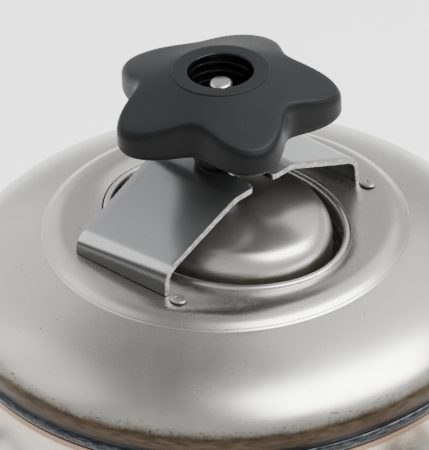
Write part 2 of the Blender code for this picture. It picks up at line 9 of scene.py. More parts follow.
import bmesh
import bpy
import numpy as np
from bpy.props import FloatProperty, FloatVectorProperty, PointerProperty
from mathutils import Matrix, Vector


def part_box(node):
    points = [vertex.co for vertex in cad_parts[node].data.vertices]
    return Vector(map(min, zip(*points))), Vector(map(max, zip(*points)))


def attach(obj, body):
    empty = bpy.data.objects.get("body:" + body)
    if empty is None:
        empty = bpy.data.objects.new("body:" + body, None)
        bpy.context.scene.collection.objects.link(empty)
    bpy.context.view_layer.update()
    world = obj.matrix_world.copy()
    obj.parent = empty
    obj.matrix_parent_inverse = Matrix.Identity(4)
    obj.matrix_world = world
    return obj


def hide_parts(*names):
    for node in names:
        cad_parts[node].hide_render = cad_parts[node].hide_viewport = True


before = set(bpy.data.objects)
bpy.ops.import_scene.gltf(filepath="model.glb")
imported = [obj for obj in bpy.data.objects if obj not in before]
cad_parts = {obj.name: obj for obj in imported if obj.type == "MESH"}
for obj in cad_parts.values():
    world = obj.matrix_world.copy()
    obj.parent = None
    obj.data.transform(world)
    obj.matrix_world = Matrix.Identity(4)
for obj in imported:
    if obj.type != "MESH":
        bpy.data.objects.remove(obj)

bl_info = {
    "name": "Pressure Canner Finish",
    "version": (1, 0, 0),
    "blender": (4, 5, 0),
    "location": "View3D > Sidebar > Canner",
    "description": "Fine surfaces and finishes for a stainless pressure canner",
    "category": "Add Mesh",
}

MM = 0.001
TURN = 2 * math.pi
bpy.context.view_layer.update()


def span(node):
    """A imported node's lowest and highest corner, in millimetres."""
    return [np.array(corner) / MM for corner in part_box(node)]


def levels(node):
    """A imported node's lowest and highest Z, in millimetres."""
    return [corner[2] for corner in span(node)]


# Driving sizes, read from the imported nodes
WALL_LOW, WALL_HIGH = span("body_wall")
AXIS_Y = (WALL_LOW[1] + WALL_HIGH[1]) / 2
WALL_RADIUS = (WALL_HIGH[0] - WALL_LOW[0]) / 2
CREST_RISE = 5.0
GAP = 0.3
BRIDGE_LOW, BRIDGE_HIGH = span("bridge_strap")
RIDGE_Z = BRIDGE_LOW[2] - CREST_RISE - GAP
BRIDGE_TOP_Z = BRIDGE_HIGH[2]
KNOB_BOTTOM_Z = levels("star_knob")[0]
STUD_TOP_Z = levels("lid_stud")[1]
LID_TOP_Z = levels("inner_lid")[1]
LID_FLANGE_Z = levels("lid_gasket")[0] - GAP
SEAT_BOTTOM_Z = levels("seat_ring")[0]
FITTING_Z = RIDGE_Z - 105.0

# The vessel
SHEET = 2.5
DOME_RISE = 45.3
DOME_BASE_Z = RIDGE_Z - 34.0
RIDGE_RADIUS = 99.0
CREST_RADIUS = 84.5
OPENING = np.array((59.0, 73.6))
LIP_Z = RIDGE_Z + 2.4
LID_WALL = np.array((49.5, 63.5))
LID_SHEET = 3.0
LID_FLANGE = 14.0
LID_SHOULDER = 12.0
LID_STRETCH = 1.17
LID_SHOULDER_TURN = 72
LID_WALL_TOP_Z = RIDGE_Z + 1.0
LID_DOME_REACH = 40.0
BASE_RADIUS = 125.0
BASE_SHEET = 3.0
HEAD_FLANGE = 4.0
BEAD_SINK = 0.2
BEAD_RISE = 1.35
HANDLE_ROD = 5.0
HANDLE_FILLET = 2.6
HANDLE_BEND = 17.0

# The pips that stop the bridge
STOP_X = 72.5
STOP_Y = -36.6
STOP_HALF = (3.6, 5.4)
STOP_HEIGHT = 1.7
STOP_DRAWN = 0.18

# The bridge
BRIDGE_FRONT_Y = -30.0
BRIDGE_REAR_Y = 33.0
BRIDGE_SHEET = 3.0
BRIDGE_FOOT_X = 74.2
BRIDGE_BEND_X = 73.2
BRIDGE_FLAT_X = 21.9
BRIDGE_BEND_Z = RIDGE_Z + 18.8
SKEW_OUT = 4.3
SKEW_DOWN = 4.9
SLOT_HALF = 7.0
SLOT_MOUTH = 3.5

# The knob and the stud
LOBES = 5
LOBE_ANGLE = math.radians(-46.2)
BORE_RADIUS = 16.9
STUD_RADIUS = 6.0
THREAD_PITCH = 1.75
STUD_CHAMFER = 1.0
BORE_FLOOR = 26.0
BORE_TOP = 50.5
BORE_PITCH = 5.2
BORE_THREAD = 0.75

# The fittings, by azimuth in degrees; heights of the dial's parts are from the wall outwards
GAUGE_AZIMUTH = -90.0
THERMO_AZIMUTH = -120.0
VALVE_AZIMUTH = -60.0
AIR_AZIMUTH = -37.5
DIAL_BACK = 37.3
DIAL_FACE = 38.3
DIAL_START = 225.0
DIAL_SWEEP = -270.0
MARKS_PER_NUMBER = 5
NUMBER_RADIUS = 17.6
NUMBER_SIZE = 4.2


# ---------------------------------------------------------------- settings


def length_setting(name, description, default, least):
    """A setting in millimetres."""
    return FloatProperty(name=name, description=description, default=default, min=least)


def colour_setting(name, description, default):
    """A linear colour setting."""
    settings = {"size": 3, "subtype": "COLOR", "default": default}
    return FloatVectorProperty(name=name, description=description, **settings)


def angle_setting(name, description, default):
    """A setting in radians, shown in degrees."""
    return FloatProperty(name=name, description=description, default=default, subtype="ANGLE")


class CannerSizes(bpy.types.PropertyGroup):
    """Sizes of the finishing detail, in millimetres."""

    bead: length_setting("Ridge line", "Height of the fine line on the ridge", 0.15, 0)
    ripple: length_setting("Weld ripple", "Depth of the ripples in a weld", 0.10, 0)
    pitch: length_setting("Weld pitch", "Distance between two weld ripples", 2.3, 0.5)
    edge: length_setting("Sheet edge", "Rounding of a cut sheet edge", 0.45, 0.05)
    thread: length_setting("Thread depth", "Depth of the stud's thread", 0.85, 0)


class CannerColours(bpy.types.PropertyGroup):
    """Linear colours of the finishes."""

    steel: colour_setting("Steel", "Satin stainless", (0.60, 0.59, 0.565))
    bridge: colour_setting("Bridge", "Cold-rolled strap", (0.33, 0.335, 0.34))
    weld: colour_setting("Weld", "Oxidised bead", (0.042, 0.047, 0.052))
    tint: colour_setting("Heat tint", "Straw to brown oxide", (0.36, 0.25, 0.15))
    knob: colour_setting("Knob", "Charcoal plastic", (0.0042, 0.0043, 0.0046))
    rubber: colour_setting("Rubber", "Gasket", (0.012, 0.012, 0.012))
    brass: colour_setting("Brass", "Machined fittings", (0.52, 0.35, 0.14))
    dial: colour_setting("Dial", "Dial face", (0.82, 0.82, 0.79))


class CannerStage(bpy.types.PropertyGroup):
    """Camera and light."""

    lens: FloatProperty(name="Lens", description="Focal length in millimetres", default=218.18, min=20)
    distance: FloatProperty(name="Distance", description="To the ridge", default=1.3959, unit="LENGTH")
    azimuth: angle_setting("Azimuth", "Turn about the vessel", math.radians(-44.2))
    elevation: angle_setting("Elevation", "Above the horizon", 0.598)
    roll: angle_setting("Roll", "About the line of sight", -0.0365)
    key: FloatProperty(name="Key light", description="The main soft box", default=62.0, unit="POWER")


# ---------------------------------------------------------------- shader arithmetic


class Value:
    """A shader socket that takes part in arithmetic; each operation adds one Math node."""

    def __init__(self, finish, socket):
        self.finish = finish
        self.socket = socket

    def math(self, operation, *values, clamp=False):
        settings = {"operation": operation, "use_clamp": clamp}
        return self.finish.node("ShaderNodeMath", settings, dict(enumerate(values)))

    def __add__(self, other):
        return self.math("ADD", self, other)

    def __sub__(self, other):
        return self.math("SUBTRACT", self, other)

    def __rsub__(self, other):
        return self.math("SUBTRACT", other, self)

    def __mul__(self, other):
        return self.math("MULTIPLY", self, other)

    def __truediv__(self, other):
        return self.math("DIVIDE", self, other)

    __radd__ = __add__
    __rmul__ = __mul__

    def __abs__(self):
        return self.math("ABSOLUTE", self)

    def sine(self):
        return self.math("SINE", self)

    def power(self, exponent):
        return self.math("POWER", self, exponent)

    def most(self, other):
        return self.math("MAXIMUM", self, other)

    def rise(self, low, high):
        """0 below low and 1 above high, with a soft step between; low may be the greater."""
        settings = {"interpolation_type": "SMOOTHSTEP"}
        inputs = {"Value": self, "From Min": min(low, high), "From Max": max(low, high)}
        inputs.update({"To Min": float(low > high), "To Max": float(low < high)})
        return self.finish.node("ShaderNodeMapRange", settings, inputs)

    def band(self, middle, half, soft):
        """1 within half of middle, and 0 a further soft away."""
        return abs(self - middle).rise(half + soft, half)


class Finish:
    """A material under construction, with its coordinates in millimetres from the vessel's axis."""

    def __init__(self, name):
        self.material = bpy.data.materials.new(name)
        self.material.use_nodes = True
        self.tree = self.material.node_tree
        self.shader = self.tree.nodes["Principled BSDF"]
        place = self.node("ShaderNodeTexCoord", {}, {}, "Object")
        inputs = {0: place, 1: (0, AXIS_Y * MM, 0)}
        centre = self.node("ShaderNodeVectorMath", {"operation": "SUBTRACT"}, inputs)
        self.place = self.node("ShaderNodeVectorMath", {"operation": "SCALE"}, {0: centre, "Scale": 1 / MM})
        self.x = self.node("ShaderNodeSeparateXYZ", {}, {0: self.place}, "X")
        parts = self.x.socket.node.outputs
        self.y = Value(self, parts["Y"])
        self.z = Value(self, parts["Z"])

    def node(self, kind, settings, inputs, output=0):
        """Adds a node, sets its settings and then its inputs, and gives one output as a Value."""
        made = self.tree.nodes.new(kind)
        for key, value in settings.items():
            setattr(made, key, value)
        for key, value in inputs.items():
            if isinstance(value, Value):
                self.tree.links.new(value.socket, made.inputs[key])
            else:
                made.inputs[key].default_value = value
        return Value(self, made.outputs[output])

    def mix(self, share, first, second):
        """From the first colour to the second as share goes from 0 to 1."""
        colours = [c if isinstance(c, Value) else (*c, 1.0) for c in (first, second)]
        inputs = {0: share, 6: colours[0], 7: colours[1]}
        return self.node("ShaderNodeMix", {"data_type": "RGBA"}, inputs, 2)

    def stretched(self, sizes, turn=(0, 0, 0)):
        """The place turned, then divided by a feature size along each direction."""
        inputs = {"Vector": self.place, "Rotation": turn}
        turned = self.node("ShaderNodeMapping", {"vector_type": "POINT"}, inputs)
        scale = tuple(1 / size for size in sizes)
        return self.node("ShaderNodeVectorMath", {"operation": "MULTIPLY"}, {0: turned, 1: scale})

    def noise(self, size, detail=2.0, turn=(0, 0, 0)):
        """Cloudy noise of about 0.5 whose features are size millimetres, or one size for each direction."""
        sizes = size if isinstance(size, tuple) else (size, size, size)
        inputs = {"Vector": self.stretched(sizes, turn), "Scale": 1.0, "Detail": detail, "Roughness": 0.5}
        return self.node("ShaderNodeTexNoise", {}, inputs, 0)

    def specks(self, spacing, size):
        """Soft dots of about size, scattered a spacing apart, as a mask."""
        vector = self.stretched((spacing, spacing, spacing))
        inputs = {"Vector": vector, "Scale": 1.0, "Randomness": 1.0}
        distance = self.node("ShaderNodeTexVoronoi", {"feature": "F1"}, inputs, "Distance")
        return distance.rise(size / spacing, 0.4 * size / spacing)

    def radius(self):
        """The distance from the vessel's axis."""
        return (self.x * self.x + self.y * self.y).power(0.5)

    def facing(self, axis):
        """How far the surface faces along an axis, from -1 to 1."""
        normal = self.node("ShaderNodeNewGeometry", {}, {}, "Normal")
        return self.node("ShaderNodeSeparateXYZ", {}, {0: normal}, axis)

    def wander(self, size, reach):
        """Noise about 0 that swings by about half of reach to each side."""
        return (self.noise(size, 3.0) - 0.5) * reach

    def scratches(self, turn, length, spacing, width):
        """Fine lines: the places where long drawn-out noise passes its middle value."""
        long_noise = self.noise((spacing, length, spacing * 3), 1.0, turn)
        lines = abs(long_noise - 0.5).rise(width, 0.0)
        patch = self.noise((spacing * 2, length * 0.6, spacing * 6), 1.0, turn).rise(0.52, 0.66)
        return lines * patch

    def bump(self, height, strength):
        """A normal from a height in millimetres."""
        inputs = {"Height": height, "Strength": strength, "Distance": MM}
        return self.node("ShaderNodeBump", {}, inputs, "Normal")

    def wire(self, **sockets):
        """Sets or links the Principled shader's sockets, named with _ for a space."""
        for name, value in sockets.items():
            socket = self.shader.inputs[name.replace("_", " ")]
            if isinstance(value, Value):
                self.tree.links.new(value.socket, socket)
            else:
                socket.default_value = value if not isinstance(value, tuple) else (*value, 1.0)
        return self.material


def shade(colour, factor):
    """A colour times a factor."""
    return tuple(part * factor for part in colour)


def colours():
    return bpy.context.scene.canner_colours


def sizes():
    return bpy.context.scene.canner_sizes


def made_once(build):
    """Builds a material the first time, and then gives the same one."""
    store = {}

    def get(*words):
        if words not in store:
            store[words] = build(*words)
        return store[words]

    return get


# ---------------------------------------------------------------- finishes


def worn_steel(name, base, satin, mark, strength=0.05):
    """Stainless sheet: base colour in soft clouds, satin roughness, specks, pits and scratches.
    Gives the parts that finish_metal joins; strength is the bump's."""
    finish = Finish(name)
    clouds = finish.noise(80.0, 2.0)
    smears = finish.noise((26.0, 26.0, 26.0), 3.0)
    grain = finish.noise(0.55, 2.0)
    lines = finish.scratches((0, 0, 0.5), 60.0, 1.6, 0.02)
    cross = finish.scratches((0, 0.2, -0.9), 38.0, 2.1, 0.018)
    scuffs = lines.most(cross)
    pits = finish.specks(9.0, 0.9) * finish.noise(30.0, 2.0).rise(0.48, 0.6)
    dust = finish.specks(3.6, 0.42)
    spots = pits.most(dust * 0.6)
    tone = finish.mix(clouds.rise(0.3, 0.7), shade(base, 0.92), base)
    tone = finish.mix(smears.rise(0.45, 0.75) * 0.2, tone, shade(base, 0.85))
    tone = finish.mix(spots * mark, tone, (0.09, 0.085, 0.075))
    tone = finish.mix(scuffs * 0.25, tone, shade(base, 1.25))
    rough = satin + (smears - 0.5) * 0.08 + (grain - 0.5) * 0.03 + spots * 0.2
    height = grain * 0.006 - pits * 0.10 - scuffs * 0.015
    return finish, tone, rough, height, strength


def finish_metal(parts, tone, oxide=None):
    """Joins the parts of worn_steel to the shader, with a new tone. Where oxide is 1 the skin is
    duller and a little less like metal."""
    finish, _, rough, height, strength = parts
    metal = 1.0
    if oxide is not None:
        metal = 1.0 - oxide * 0.15
        rough = rough + oxide * 0.14
    normal = finish.bump(height, strength)
    return finish.wire(Base_Color=tone, Roughness=rough, Metallic=metal, Normal=normal)


@made_once
def head_finish():
    """Vessel sheet with a heat-tinted band beside the seam."""
    parts = worn_steel("head_steel", tuple(colours().steel), 0.27, 0.8)
    finish, tone = parts[0], parts[1]
    below = RIDGE_Z - finish.z
    wander = finish.wander((16.0, 16.0, 5.0), 6.0)
    straw = (below + wander).rise(18.0, 27.0)
    tone = finish.mix(straw * 0.4, tone, (0.34, 0.30, 0.20))
    fringe = finish.wander((1.6, 1.6, 5.0), 1.6)
    heat = (below + wander * 0.4 + fringe).rise(23.5, 29.5)
    mottle = finish.noise((7.0, 7.0, 1.6), 4.0).rise(0.3, 0.7)
    brown = finish.mix(mottle, shade(colours().tint, 0.07), shade(colours().tint, 0.15))
    tone = finish.mix(heat, tone, brown)
    lower = (below + wander * 0.2).rise(32.0, 37.0)
    tone = finish.mix(lower * 0.6, tone, (0.030, 0.021, 0.015))
    blue = (below + wander * 0.1).rise(37.4, 38.2)
    streaks = finish.noise((6.0, 6.0, 0.8), 3.0).rise(0.4, 0.7)
    scale = finish.mix(streaks, shade(colours().weld, 0.45), shade(colours().weld, 1.1))
    tone = finish.mix(blue, tone, scale)
    crease = (below + wander * 0.1).band(37.5, 0.35, 0.5)
    tone = finish.mix(crease * 0.85, tone, (0.006, 0.006, 0.006))
    soot = finish.noise((3.0, 3.0, 1.2), 3.0).rise(0.60, 0.70) * below.band(26.0, 1.5, 2.5)
    tone = finish.mix(soot * 0.8, tone, (0.02, 0.018, 0.015))
    return finish_metal(parts, tone, heat)


@made_once
def stop_finish():
    """Vessel sheet with painted shade round the foot of a raised pip."""
    parts = worn_steel("stop_steel", shade(colours().steel, 0.8), 0.34, 0.8)
    finish, tone = parts[0], parts[1]
    # Painted shade: darker and duller within about a millimetre of the pip's foot, where it meets the head.
    pip_foot_shade = (finish.z - BRIDGE_LOW[2]).rise(1.25, 0.5)
    tone = finish.mix(pip_foot_shade * 0.9, tone, (0.03, 0.03, 0.028))
    return finish_metal(parts, tone, pip_foot_shade * 0.8)


@made_once
def wall_finish():
    """Body sheet: copper line under the seam, fading through straw to pale steel."""
    parts = worn_steel("wall_steel", shade(colours().steel, 0.68), 0.26, 0.5)
    finish, tone = parts[0], parts[1]
    edges = (WALL_HIGH[2] - finish.z), (finish.z - WALL_LOW[2])
    wander = finish.wander((20.0, 20.0, 6.0), 5.0)
    for edge in edges:
        straw = (edge + wander).rise(24.0, 3.0)
        tone = finish.mix(straw * 0.5, tone, (0.50, 0.38, 0.22))
        copper = (edge + wander * 0.15).rise(5.5, 3.0)
        tone = finish.mix(copper * 0.95, tone, (0.16, 0.088, 0.055))
        shine = (edge + wander * 0.08).band(2.0, 0.6, 0.8)
        tone = finish.mix(shine * 0.7, tone, (0.27, 0.175, 0.12))
        burnt = (edge + wander * 0.05).rise(1.0, 0.4)
        tone = finish.mix(burnt * 0.85, tone, (0.04, 0.028, 0.022))
    oxide = edges[0].rise(5.5, 3.0).most(edges[1].rise(5.5, 3.0))
    return finish_metal(parts, tone, oxide)


@made_once
def lower_finish():
    """Sheet of the lower end: a heat-tinted band under the lower seam, and plain steel below it."""
    parts = worn_steel("lower_steel", shade(colours().steel, 0.7), 0.30, 0.6)
    finish, tone = parts[0], parts[1]
    under = WALL_LOW[2] - finish.z
    wander = finish.wander((16.0, 16.0, 5.0), 6.0)
    heat = (under + wander * 0.5).rise(15.0, 9.0)
    tone = finish.mix(heat, tone, shade(colours().tint, 0.13))
    return finish_metal(parts, tone, heat)


@made_once
def weld_finish():
    """Blue-grey bead, streaked round the seam."""
    finish = Finish("weld_bead")
    streaks = finish.noise((5.0, 5.0, 1.2), 4.0)
    soot = finish.noise(9.0, 3.0)
    base = tuple(colours().weld)
    tone = finish.mix(streaks.rise(0.38, 0.68), shade(base, 0.4), shade(base, 1.5))
    tone = finish.mix(soot.rise(0.55, 0.75) * 0.5, tone, (0.06, 0.045, 0.035))
    rough = 0.42 + (streaks - 0.5) * 0.3
    normal = finish.bump(finish.noise((2.4, 2.4, 1.2), 3.0) * 0.35, 0.5)
    return finish.wire(Base_Color=tone, Roughness=rough, Metallic=0.9, Normal=normal)


@made_once
def lid_finish():
    """Lid sheet: satin, specked, with a heat tint round the stud and stains low on its wall."""
    parts = worn_steel("lid_steel", shade(colours().steel, 0.9), 0.30, 0.9, 0.2)
    finish, tone = parts[0], parts[1]
    ring = (finish.radius() + (finish.noise(5.0, 2.0) - 0.5) * 6.0).rise(23.0, 13.0)
    tone = finish.mix(ring * 0.7, tone, (0.13, 0.10, 0.08))
    low = finish.z.rise(RIDGE_Z + 8.0, RIDGE_Z + 1.0)
    stain = low * finish.noise((8.0, 8.0, 30.0), 1.0).rise(0.45, 0.65)
    tone = finish.mix(stain * 0.45, tone, (0.42, 0.33, 0.17))
    return finish_metal(parts, tone)


@made_once
def bridge_finish():
    """Rolled strap: fine lines along its length, a painted highlight along the bends, a torn
    front edge and painted shade on the legs' sideways faces."""
    finish, tone = worn_steel("bridge_steel", tuple(colours().bridge), 0.21, 0.25)[:2]
    smooth = finish.noise(26.0, 3.0)
    rolled = finish.noise((30.0, 0.7, 0.7), 2.0)
    tone = finish.mix(rolled.rise(0.35, 0.65) * 0.12, tone, shade(colours().bridge, 0.8))
    edge = finish.y.rise(BRIDGE_FRONT_Y + 0.85, BRIDGE_FRONT_Y + 0.45)
    torn = finish.noise((3.2, 3.0, 2.2), 3.0).rise(0.36, 0.66)
    tone = finish.mix(edge, tone, finish.mix(torn, (0.20, 0.20, 0.19), (0.42, 0.42, 0.40)))
    sideways = abs(finish.facing("X"))
    # Painted shade: faces that point sideways, on the legs, are darkened by their facing alone.
    outside = sideways.rise(0.74, 0.86) * (1.0 - edge)
    tone = finish.mix(outside * 0.9, tone, (0.05, 0.05, 0.048))
    # Painted highlight: a pale band, broken into streaks, where the bends face part way sideways.
    highlight_streaks = 0.5 + finish.noise((0.5, 0.5, 6.0), 2.0).rise(0.4, 0.6) * 0.5
    bend_highlight = sideways.band(0.63, 0.08, 0.08) * highlight_streaks
    tone = finish.mix(bend_highlight * 0.7 * (1.0 - edge), tone, (0.85, 0.85, 0.83))
    fine = finish.noise(0.8, 2.0) * 0.01
    rough = 0.12 + smooth * 0.06 + edge * 0.25 + bend_highlight * 0.15
    height = fine + edge * torn * 0.06
    return finish_metal((finish, tone, rough, height, 0.12), tone, 0.7)


@made_once
def turned_finish(name, colour, satin):
    """A machined part: fine rings and light handling marks."""
    finish = Finish(name)
    fine = finish.noise((4.0, 4.0, 0.25), 2.0)
    dull = finish.noise(6.0, 3.0)
    tone = finish.mix(dull.rise(0.35, 0.7) * 0.35, colour, shade(colour, 0.7))
    rough = satin + (dull - 0.5) * 0.2 + (fine - 0.5) * 0.1
    normal = finish.bump(fine * 0.02, 0.3)
    return finish.wire(Base_Color=tone, Roughness=rough, Metallic=1.0, Normal=normal)


@made_once
def knob_finish():
    """Moulded charcoal plastic: fine grain, painted sheen where it faces up, glossy bore in painted shade."""
    finish = Finish("knob_plastic")
    grain = finish.noise(0.8, 3.0)
    fine = finish.noise(0.35, 2.0)
    bloom = finish.noise(22.0, 3.0)
    base = tuple(colours().knob)
    inside = finish.radius().rise(BORE_RADIUS + 0.9, BORE_RADIUS + 0.2)
    # Painted sheen: faces that point up are made lighter, standing for the light falling on the knob's top.
    painted_top_sheen = finish.facing("Z").rise(0.35, 0.95)
    tone = finish.mix(bloom.rise(0.35, 0.7) * 0.6, base, shade(base, 1.5))
    tone = finish.mix(painted_top_sheen * 0.8, tone, shade(base, 4.4))
    dust = finish.specks(11.0, 0.35)
    tone = finish.mix(dust * 0.3, tone, (0.25, 0.25, 0.25))
    # Painted shade: the bore's wall is made darker, as well as glossier.
    tone = finish.mix(inside * 0.8, tone, shade(base, 0.3))
    rough = 0.46 + (grain - 0.5) * 0.2 + (bloom - 0.5) * 0.1 - inside * 0.26
    normal = finish.bump(grain * 0.05 + fine * 0.03, 0.4)
    finish.shader.inputs["Specular IOR Level"].default_value = 0.10
    return finish.wire(Base_Color=tone, Roughness=rough, Metallic=0.0, Normal=normal)


@made_once
def dull_finish(name, colour, satin):
    """Rubber or nylon: one colour, greyed where it is handled, with a fine grain."""
    finish = Finish(name)
    grain = finish.noise(0.7, 3.0)
    bloom = finish.noise(8.0, 3.0)
    greyed = tuple(part * 0.8 + 0.02 for part in colour)
    tone = finish.mix(bloom.rise(0.4, 0.75) * 0.5, colour, greyed)
    rough = satin + (grain - 0.5) * 0.2
    normal = finish.bump(grain * 0.05, 0.4)
    return finish.wire(Base_Color=tone, Roughness=rough, Metallic=0.0, Normal=normal)


@made_once
def glass_finish():
    """Clear dial window."""
    finish = Finish("window_glass")
    smear = finish.noise(9.0, 2.0)
    rough = 0.03 + smear.rise(0.5, 0.8) * 0.04
    finish.wire(Base_Color=(0.95, 0.97, 0.97), Roughness=rough, Alpha=0.14)
    finish.shader.inputs["IOR"].default_value = 1.5
    return finish.material


def brass():
    """The finish of every turned brass part."""
    return turned_finish("brass_part", tuple(colours().brass), 0.34)


def fitting_steel():
    """The finish of the sleeves and of small steel parts."""
    return turned_finish("fitting_steel", tuple(colours().steel), 0.26)


# ---------------------------------------------------------------- surfaces


def arc(x, y, radius, start, end, steps):
    """Points on a circular arc, by angles in degrees."""
    turns = np.radians(np.linspace(start, end, steps + 1))
    return list(zip(x + radius * np.cos(turns), y + radius * np.sin(turns)))


def eased(points, per_span):
    """A smooth path through points: a cubic on each span whose end slopes follow its neighbours."""
    p = np.array(points, dtype=float)
    wide = np.vstack((2 * p[0] - p[1], p, 2 * p[-1] - p[-2]))
    a, b, c, d = wide[:-3, None], wide[1:-2, None], wide[2:-1, None], wide[3:, None]
    t = np.linspace(0, 1, per_span, endpoint=False)[None, :, None]
    slope = (c - a) * t
    square = (2 * a - 5 * b + 4 * c - d) * t**2
    cube = (3 * b - 3 * c + d - a) * t**3
    curve = 0.5 * (2 * b + slope + square + cube)
    return np.vstack((curve.reshape(-1, p.shape[1]), p[-1:]))


def filleted(points, radii, steps=6):
    """A path of straight lines whose inner corners are rounded: each corner becomes an arc drawn
    as a quadratic curve between two points one radius away along its sides."""
    corners = [Vector(point) for point in points]
    path = [corners[0]]
    for before, corner, after, radius in zip(corners, corners[1:], corners[2:], radii):
        back = corner + (before - corner).normalized() * min(radius, (before - corner).length * 0.5)
        ahead = corner + (after - corner).normalized() * min(radius, (after - corner).length * 0.5)
        for i in range(steps + 1):
            t = i / steps
            path.append(back * (1 - t) ** 2 + corner * 2 * t * (1 - t) + ahead * t**2)
    path.append(corners[-1])
    return np.array([tuple(point) for point in path])


def rounded_loop(points, radius, steps=3):
    """A closed section with every corner rounded by radius."""
    loop = list(points)
    path = filleted([loop[-1]] + loop + [loop[0]], [radius] * len(loop), steps)
    return path[1:-1]


def angles(steps):
    return np.linspace(0, TURN, steps, endpoint=False)


def around(x, y, turns, z):
    """Points at x times the cosine and y times the sine of each turn, at heights z."""
    return np.stack(np.broadcast_arrays(x * np.cos(turns), y * np.sin(turns), z), axis=-1)


def spun(profile, steps=192):
    """A profile of (radius, height) carried round the vertical axis."""
    return oval(profile, (0, 0), steps)


def oval(profile, halves, steps=192):
    """A profile of (offset, height) carried round an oval: x is (half width + offset) times the
    cosine, and y the same with the half length and the sine."""
    section = np.array(profile, dtype=float)
    offset = section[:, :1]
    return around(halves[0] + offset, halves[1] + offset, angles(steps), section[:, 1:2])


def hexed(profile, steps=96, sides=6):
    """A profile of (flat radius, height, corner radius) carried round: the radius is that of a
    hexagon, cut off at the corner radius."""
    section = np.array(profile, dtype=float)
    turns = angles(steps)
    part = TURN / sides
    flat = section[:, :1] / np.cos((turns + part / 2) % part - part / 2)
    radius = np.minimum(flat, section[:, 2:3])
    return around(radius, radius, turns, section[:, 1:2])


def block(outer, inner, low, high):
    """The corners of a rectangular section, by its radii and its levels."""
    return [(outer, low), (outer, high), (inner, high), (inner, low)]


def lengths(path):
    """The distance travelled along a path at each of its points."""
    steps = np.linalg.norm(np.diff(path, axis=0), axis=1)
    return np.concatenate(([0], np.cumsum(steps)))


def milled(rows, beyond, low, high, teeth, depth):
    """Grooves a turned surface: between two levels and beyond a radius, each ring shrinks by a
    share of depth that swings as one plus the cosine of teeth times the turn."""
    radius = np.hypot(rows[..., 0], rows[..., 1])
    rim = (radius > beyond) & (rows[..., 2] > low) & (rows[..., 2] < high)
    swing = 1 + np.cos(teeth * angles(rows.shape[1]))
    rows[..., :2] *= (1 - np.where(rim, depth * swing, 0))[..., None]
    return rows


def tube(path, radii, steps=32):
    """A round section carried along a path that lies level: its sides point along the path's
    level normal and straight up."""
    route = np.array(path, dtype=float)
    ahead = np.gradient(route, axis=0)
    ahead /= np.linalg.norm(ahead, axis=1, keepdims=True)
    side = np.cross(ahead, (0.0, 0.0, 1.0))
    turns = angles(steps)[None, :, None]
    radius = np.array(radii, dtype=float)[:, None, None]
    rise = np.array((0.0, 0.0, 1.0))
    return route[:, None] + radius * (np.cos(turns) * side[:, None] + np.sin(turns) * rise)


def mesh_of(name, grids, sharp=35.0, along=False):
    """Joins grids of points (rows, columns, xyz) into one mesh. Columns close on themselves, and
    rows too where along is true. Equal points merge and every face then points outwards."""
    places = []
    faces = []
    first = 0
    for grid in grids:
        rows, columns = grid.shape[:2]
        index = np.arange(rows * columns).reshape(rows, columns) + first
        index = np.hstack((index, index[:, :1]))
        if along:
            index = np.vstack((index, index[:1]))
        quads = np.stack((index[:-1, :-1], index[:-1, 1:], index[1:, 1:], index[1:, :-1]), axis=-1)
        places.append(grid.reshape(-1, 3))
        faces.append(quads.reshape(-1, 4))
        first += rows * columns
    places = np.vstack(places) * MM + np.array((0.0, AXIS_Y * MM, 0.0))
    return tidied(name, places, np.vstack(faces), sharp)


def tidied(name, places, faces, sharp):
    """A mesh from places in metres: doubles merged, normals out, smooth below the sharp angle."""
    mesh = bpy.data.meshes.new(name)
    mesh.from_pydata(places, [], faces.tolist())
    shape = bmesh.new()
    shape.from_mesh(mesh)
    bmesh.ops.remove_doubles(shape, verts=shape.verts, dist=0.002 * MM)
    bmesh.ops.dissolve_degenerate(shape, edges=shape.edges, dist=0.0005 * MM)
    bmesh.ops.recalc_face_normals(shape, faces=shape.faces)
    shape.to_mesh(mesh)
    shape.free()
    mesh.shade_smooth()
    mesh.set_sharp_from_angle(angle=math.radians(sharp))
    return mesh


def placed(grid, matrix):
    """A grid of points moved by a 4 x 4 matrix in millimetres."""
    turn = np.array(matrix.to_3x3())
    return grid @ turn.T + np.array(matrix.translation)


def piece(name, mesh, material, body, nodes):
    """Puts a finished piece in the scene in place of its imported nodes."""
    made = bpy.data.objects.new(name, mesh)
    bpy.context.scene.collection.objects.link(made)
    mesh.materials.append(material)
    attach(made, body)
    if nodes:
        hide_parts(*nodes)
    return made


def skin(node, suffix, grid, material, body="vessel", sharp=35.0, along=False):
    """Puts one grid of points, named by node and suffix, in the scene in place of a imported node."""
    name = f"{node}_{suffix}"
    return piece(name, mesh_of(name, [grid], sharp, along), material, body, [node])


def paint(node, material):
    """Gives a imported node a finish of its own."""
    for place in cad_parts[node].material_slots:
        place.material = material


def sheet_of(made, thickness):
    """Gives a surface its wall, inwards."""
    wall = made.modifiers.new("wall", "SOLIDIFY")
    wall.thickness = thickness * MM
    wall.offset = -1
    wall.use_even_offset = True


# ---------------------------------------------------------------- vessel


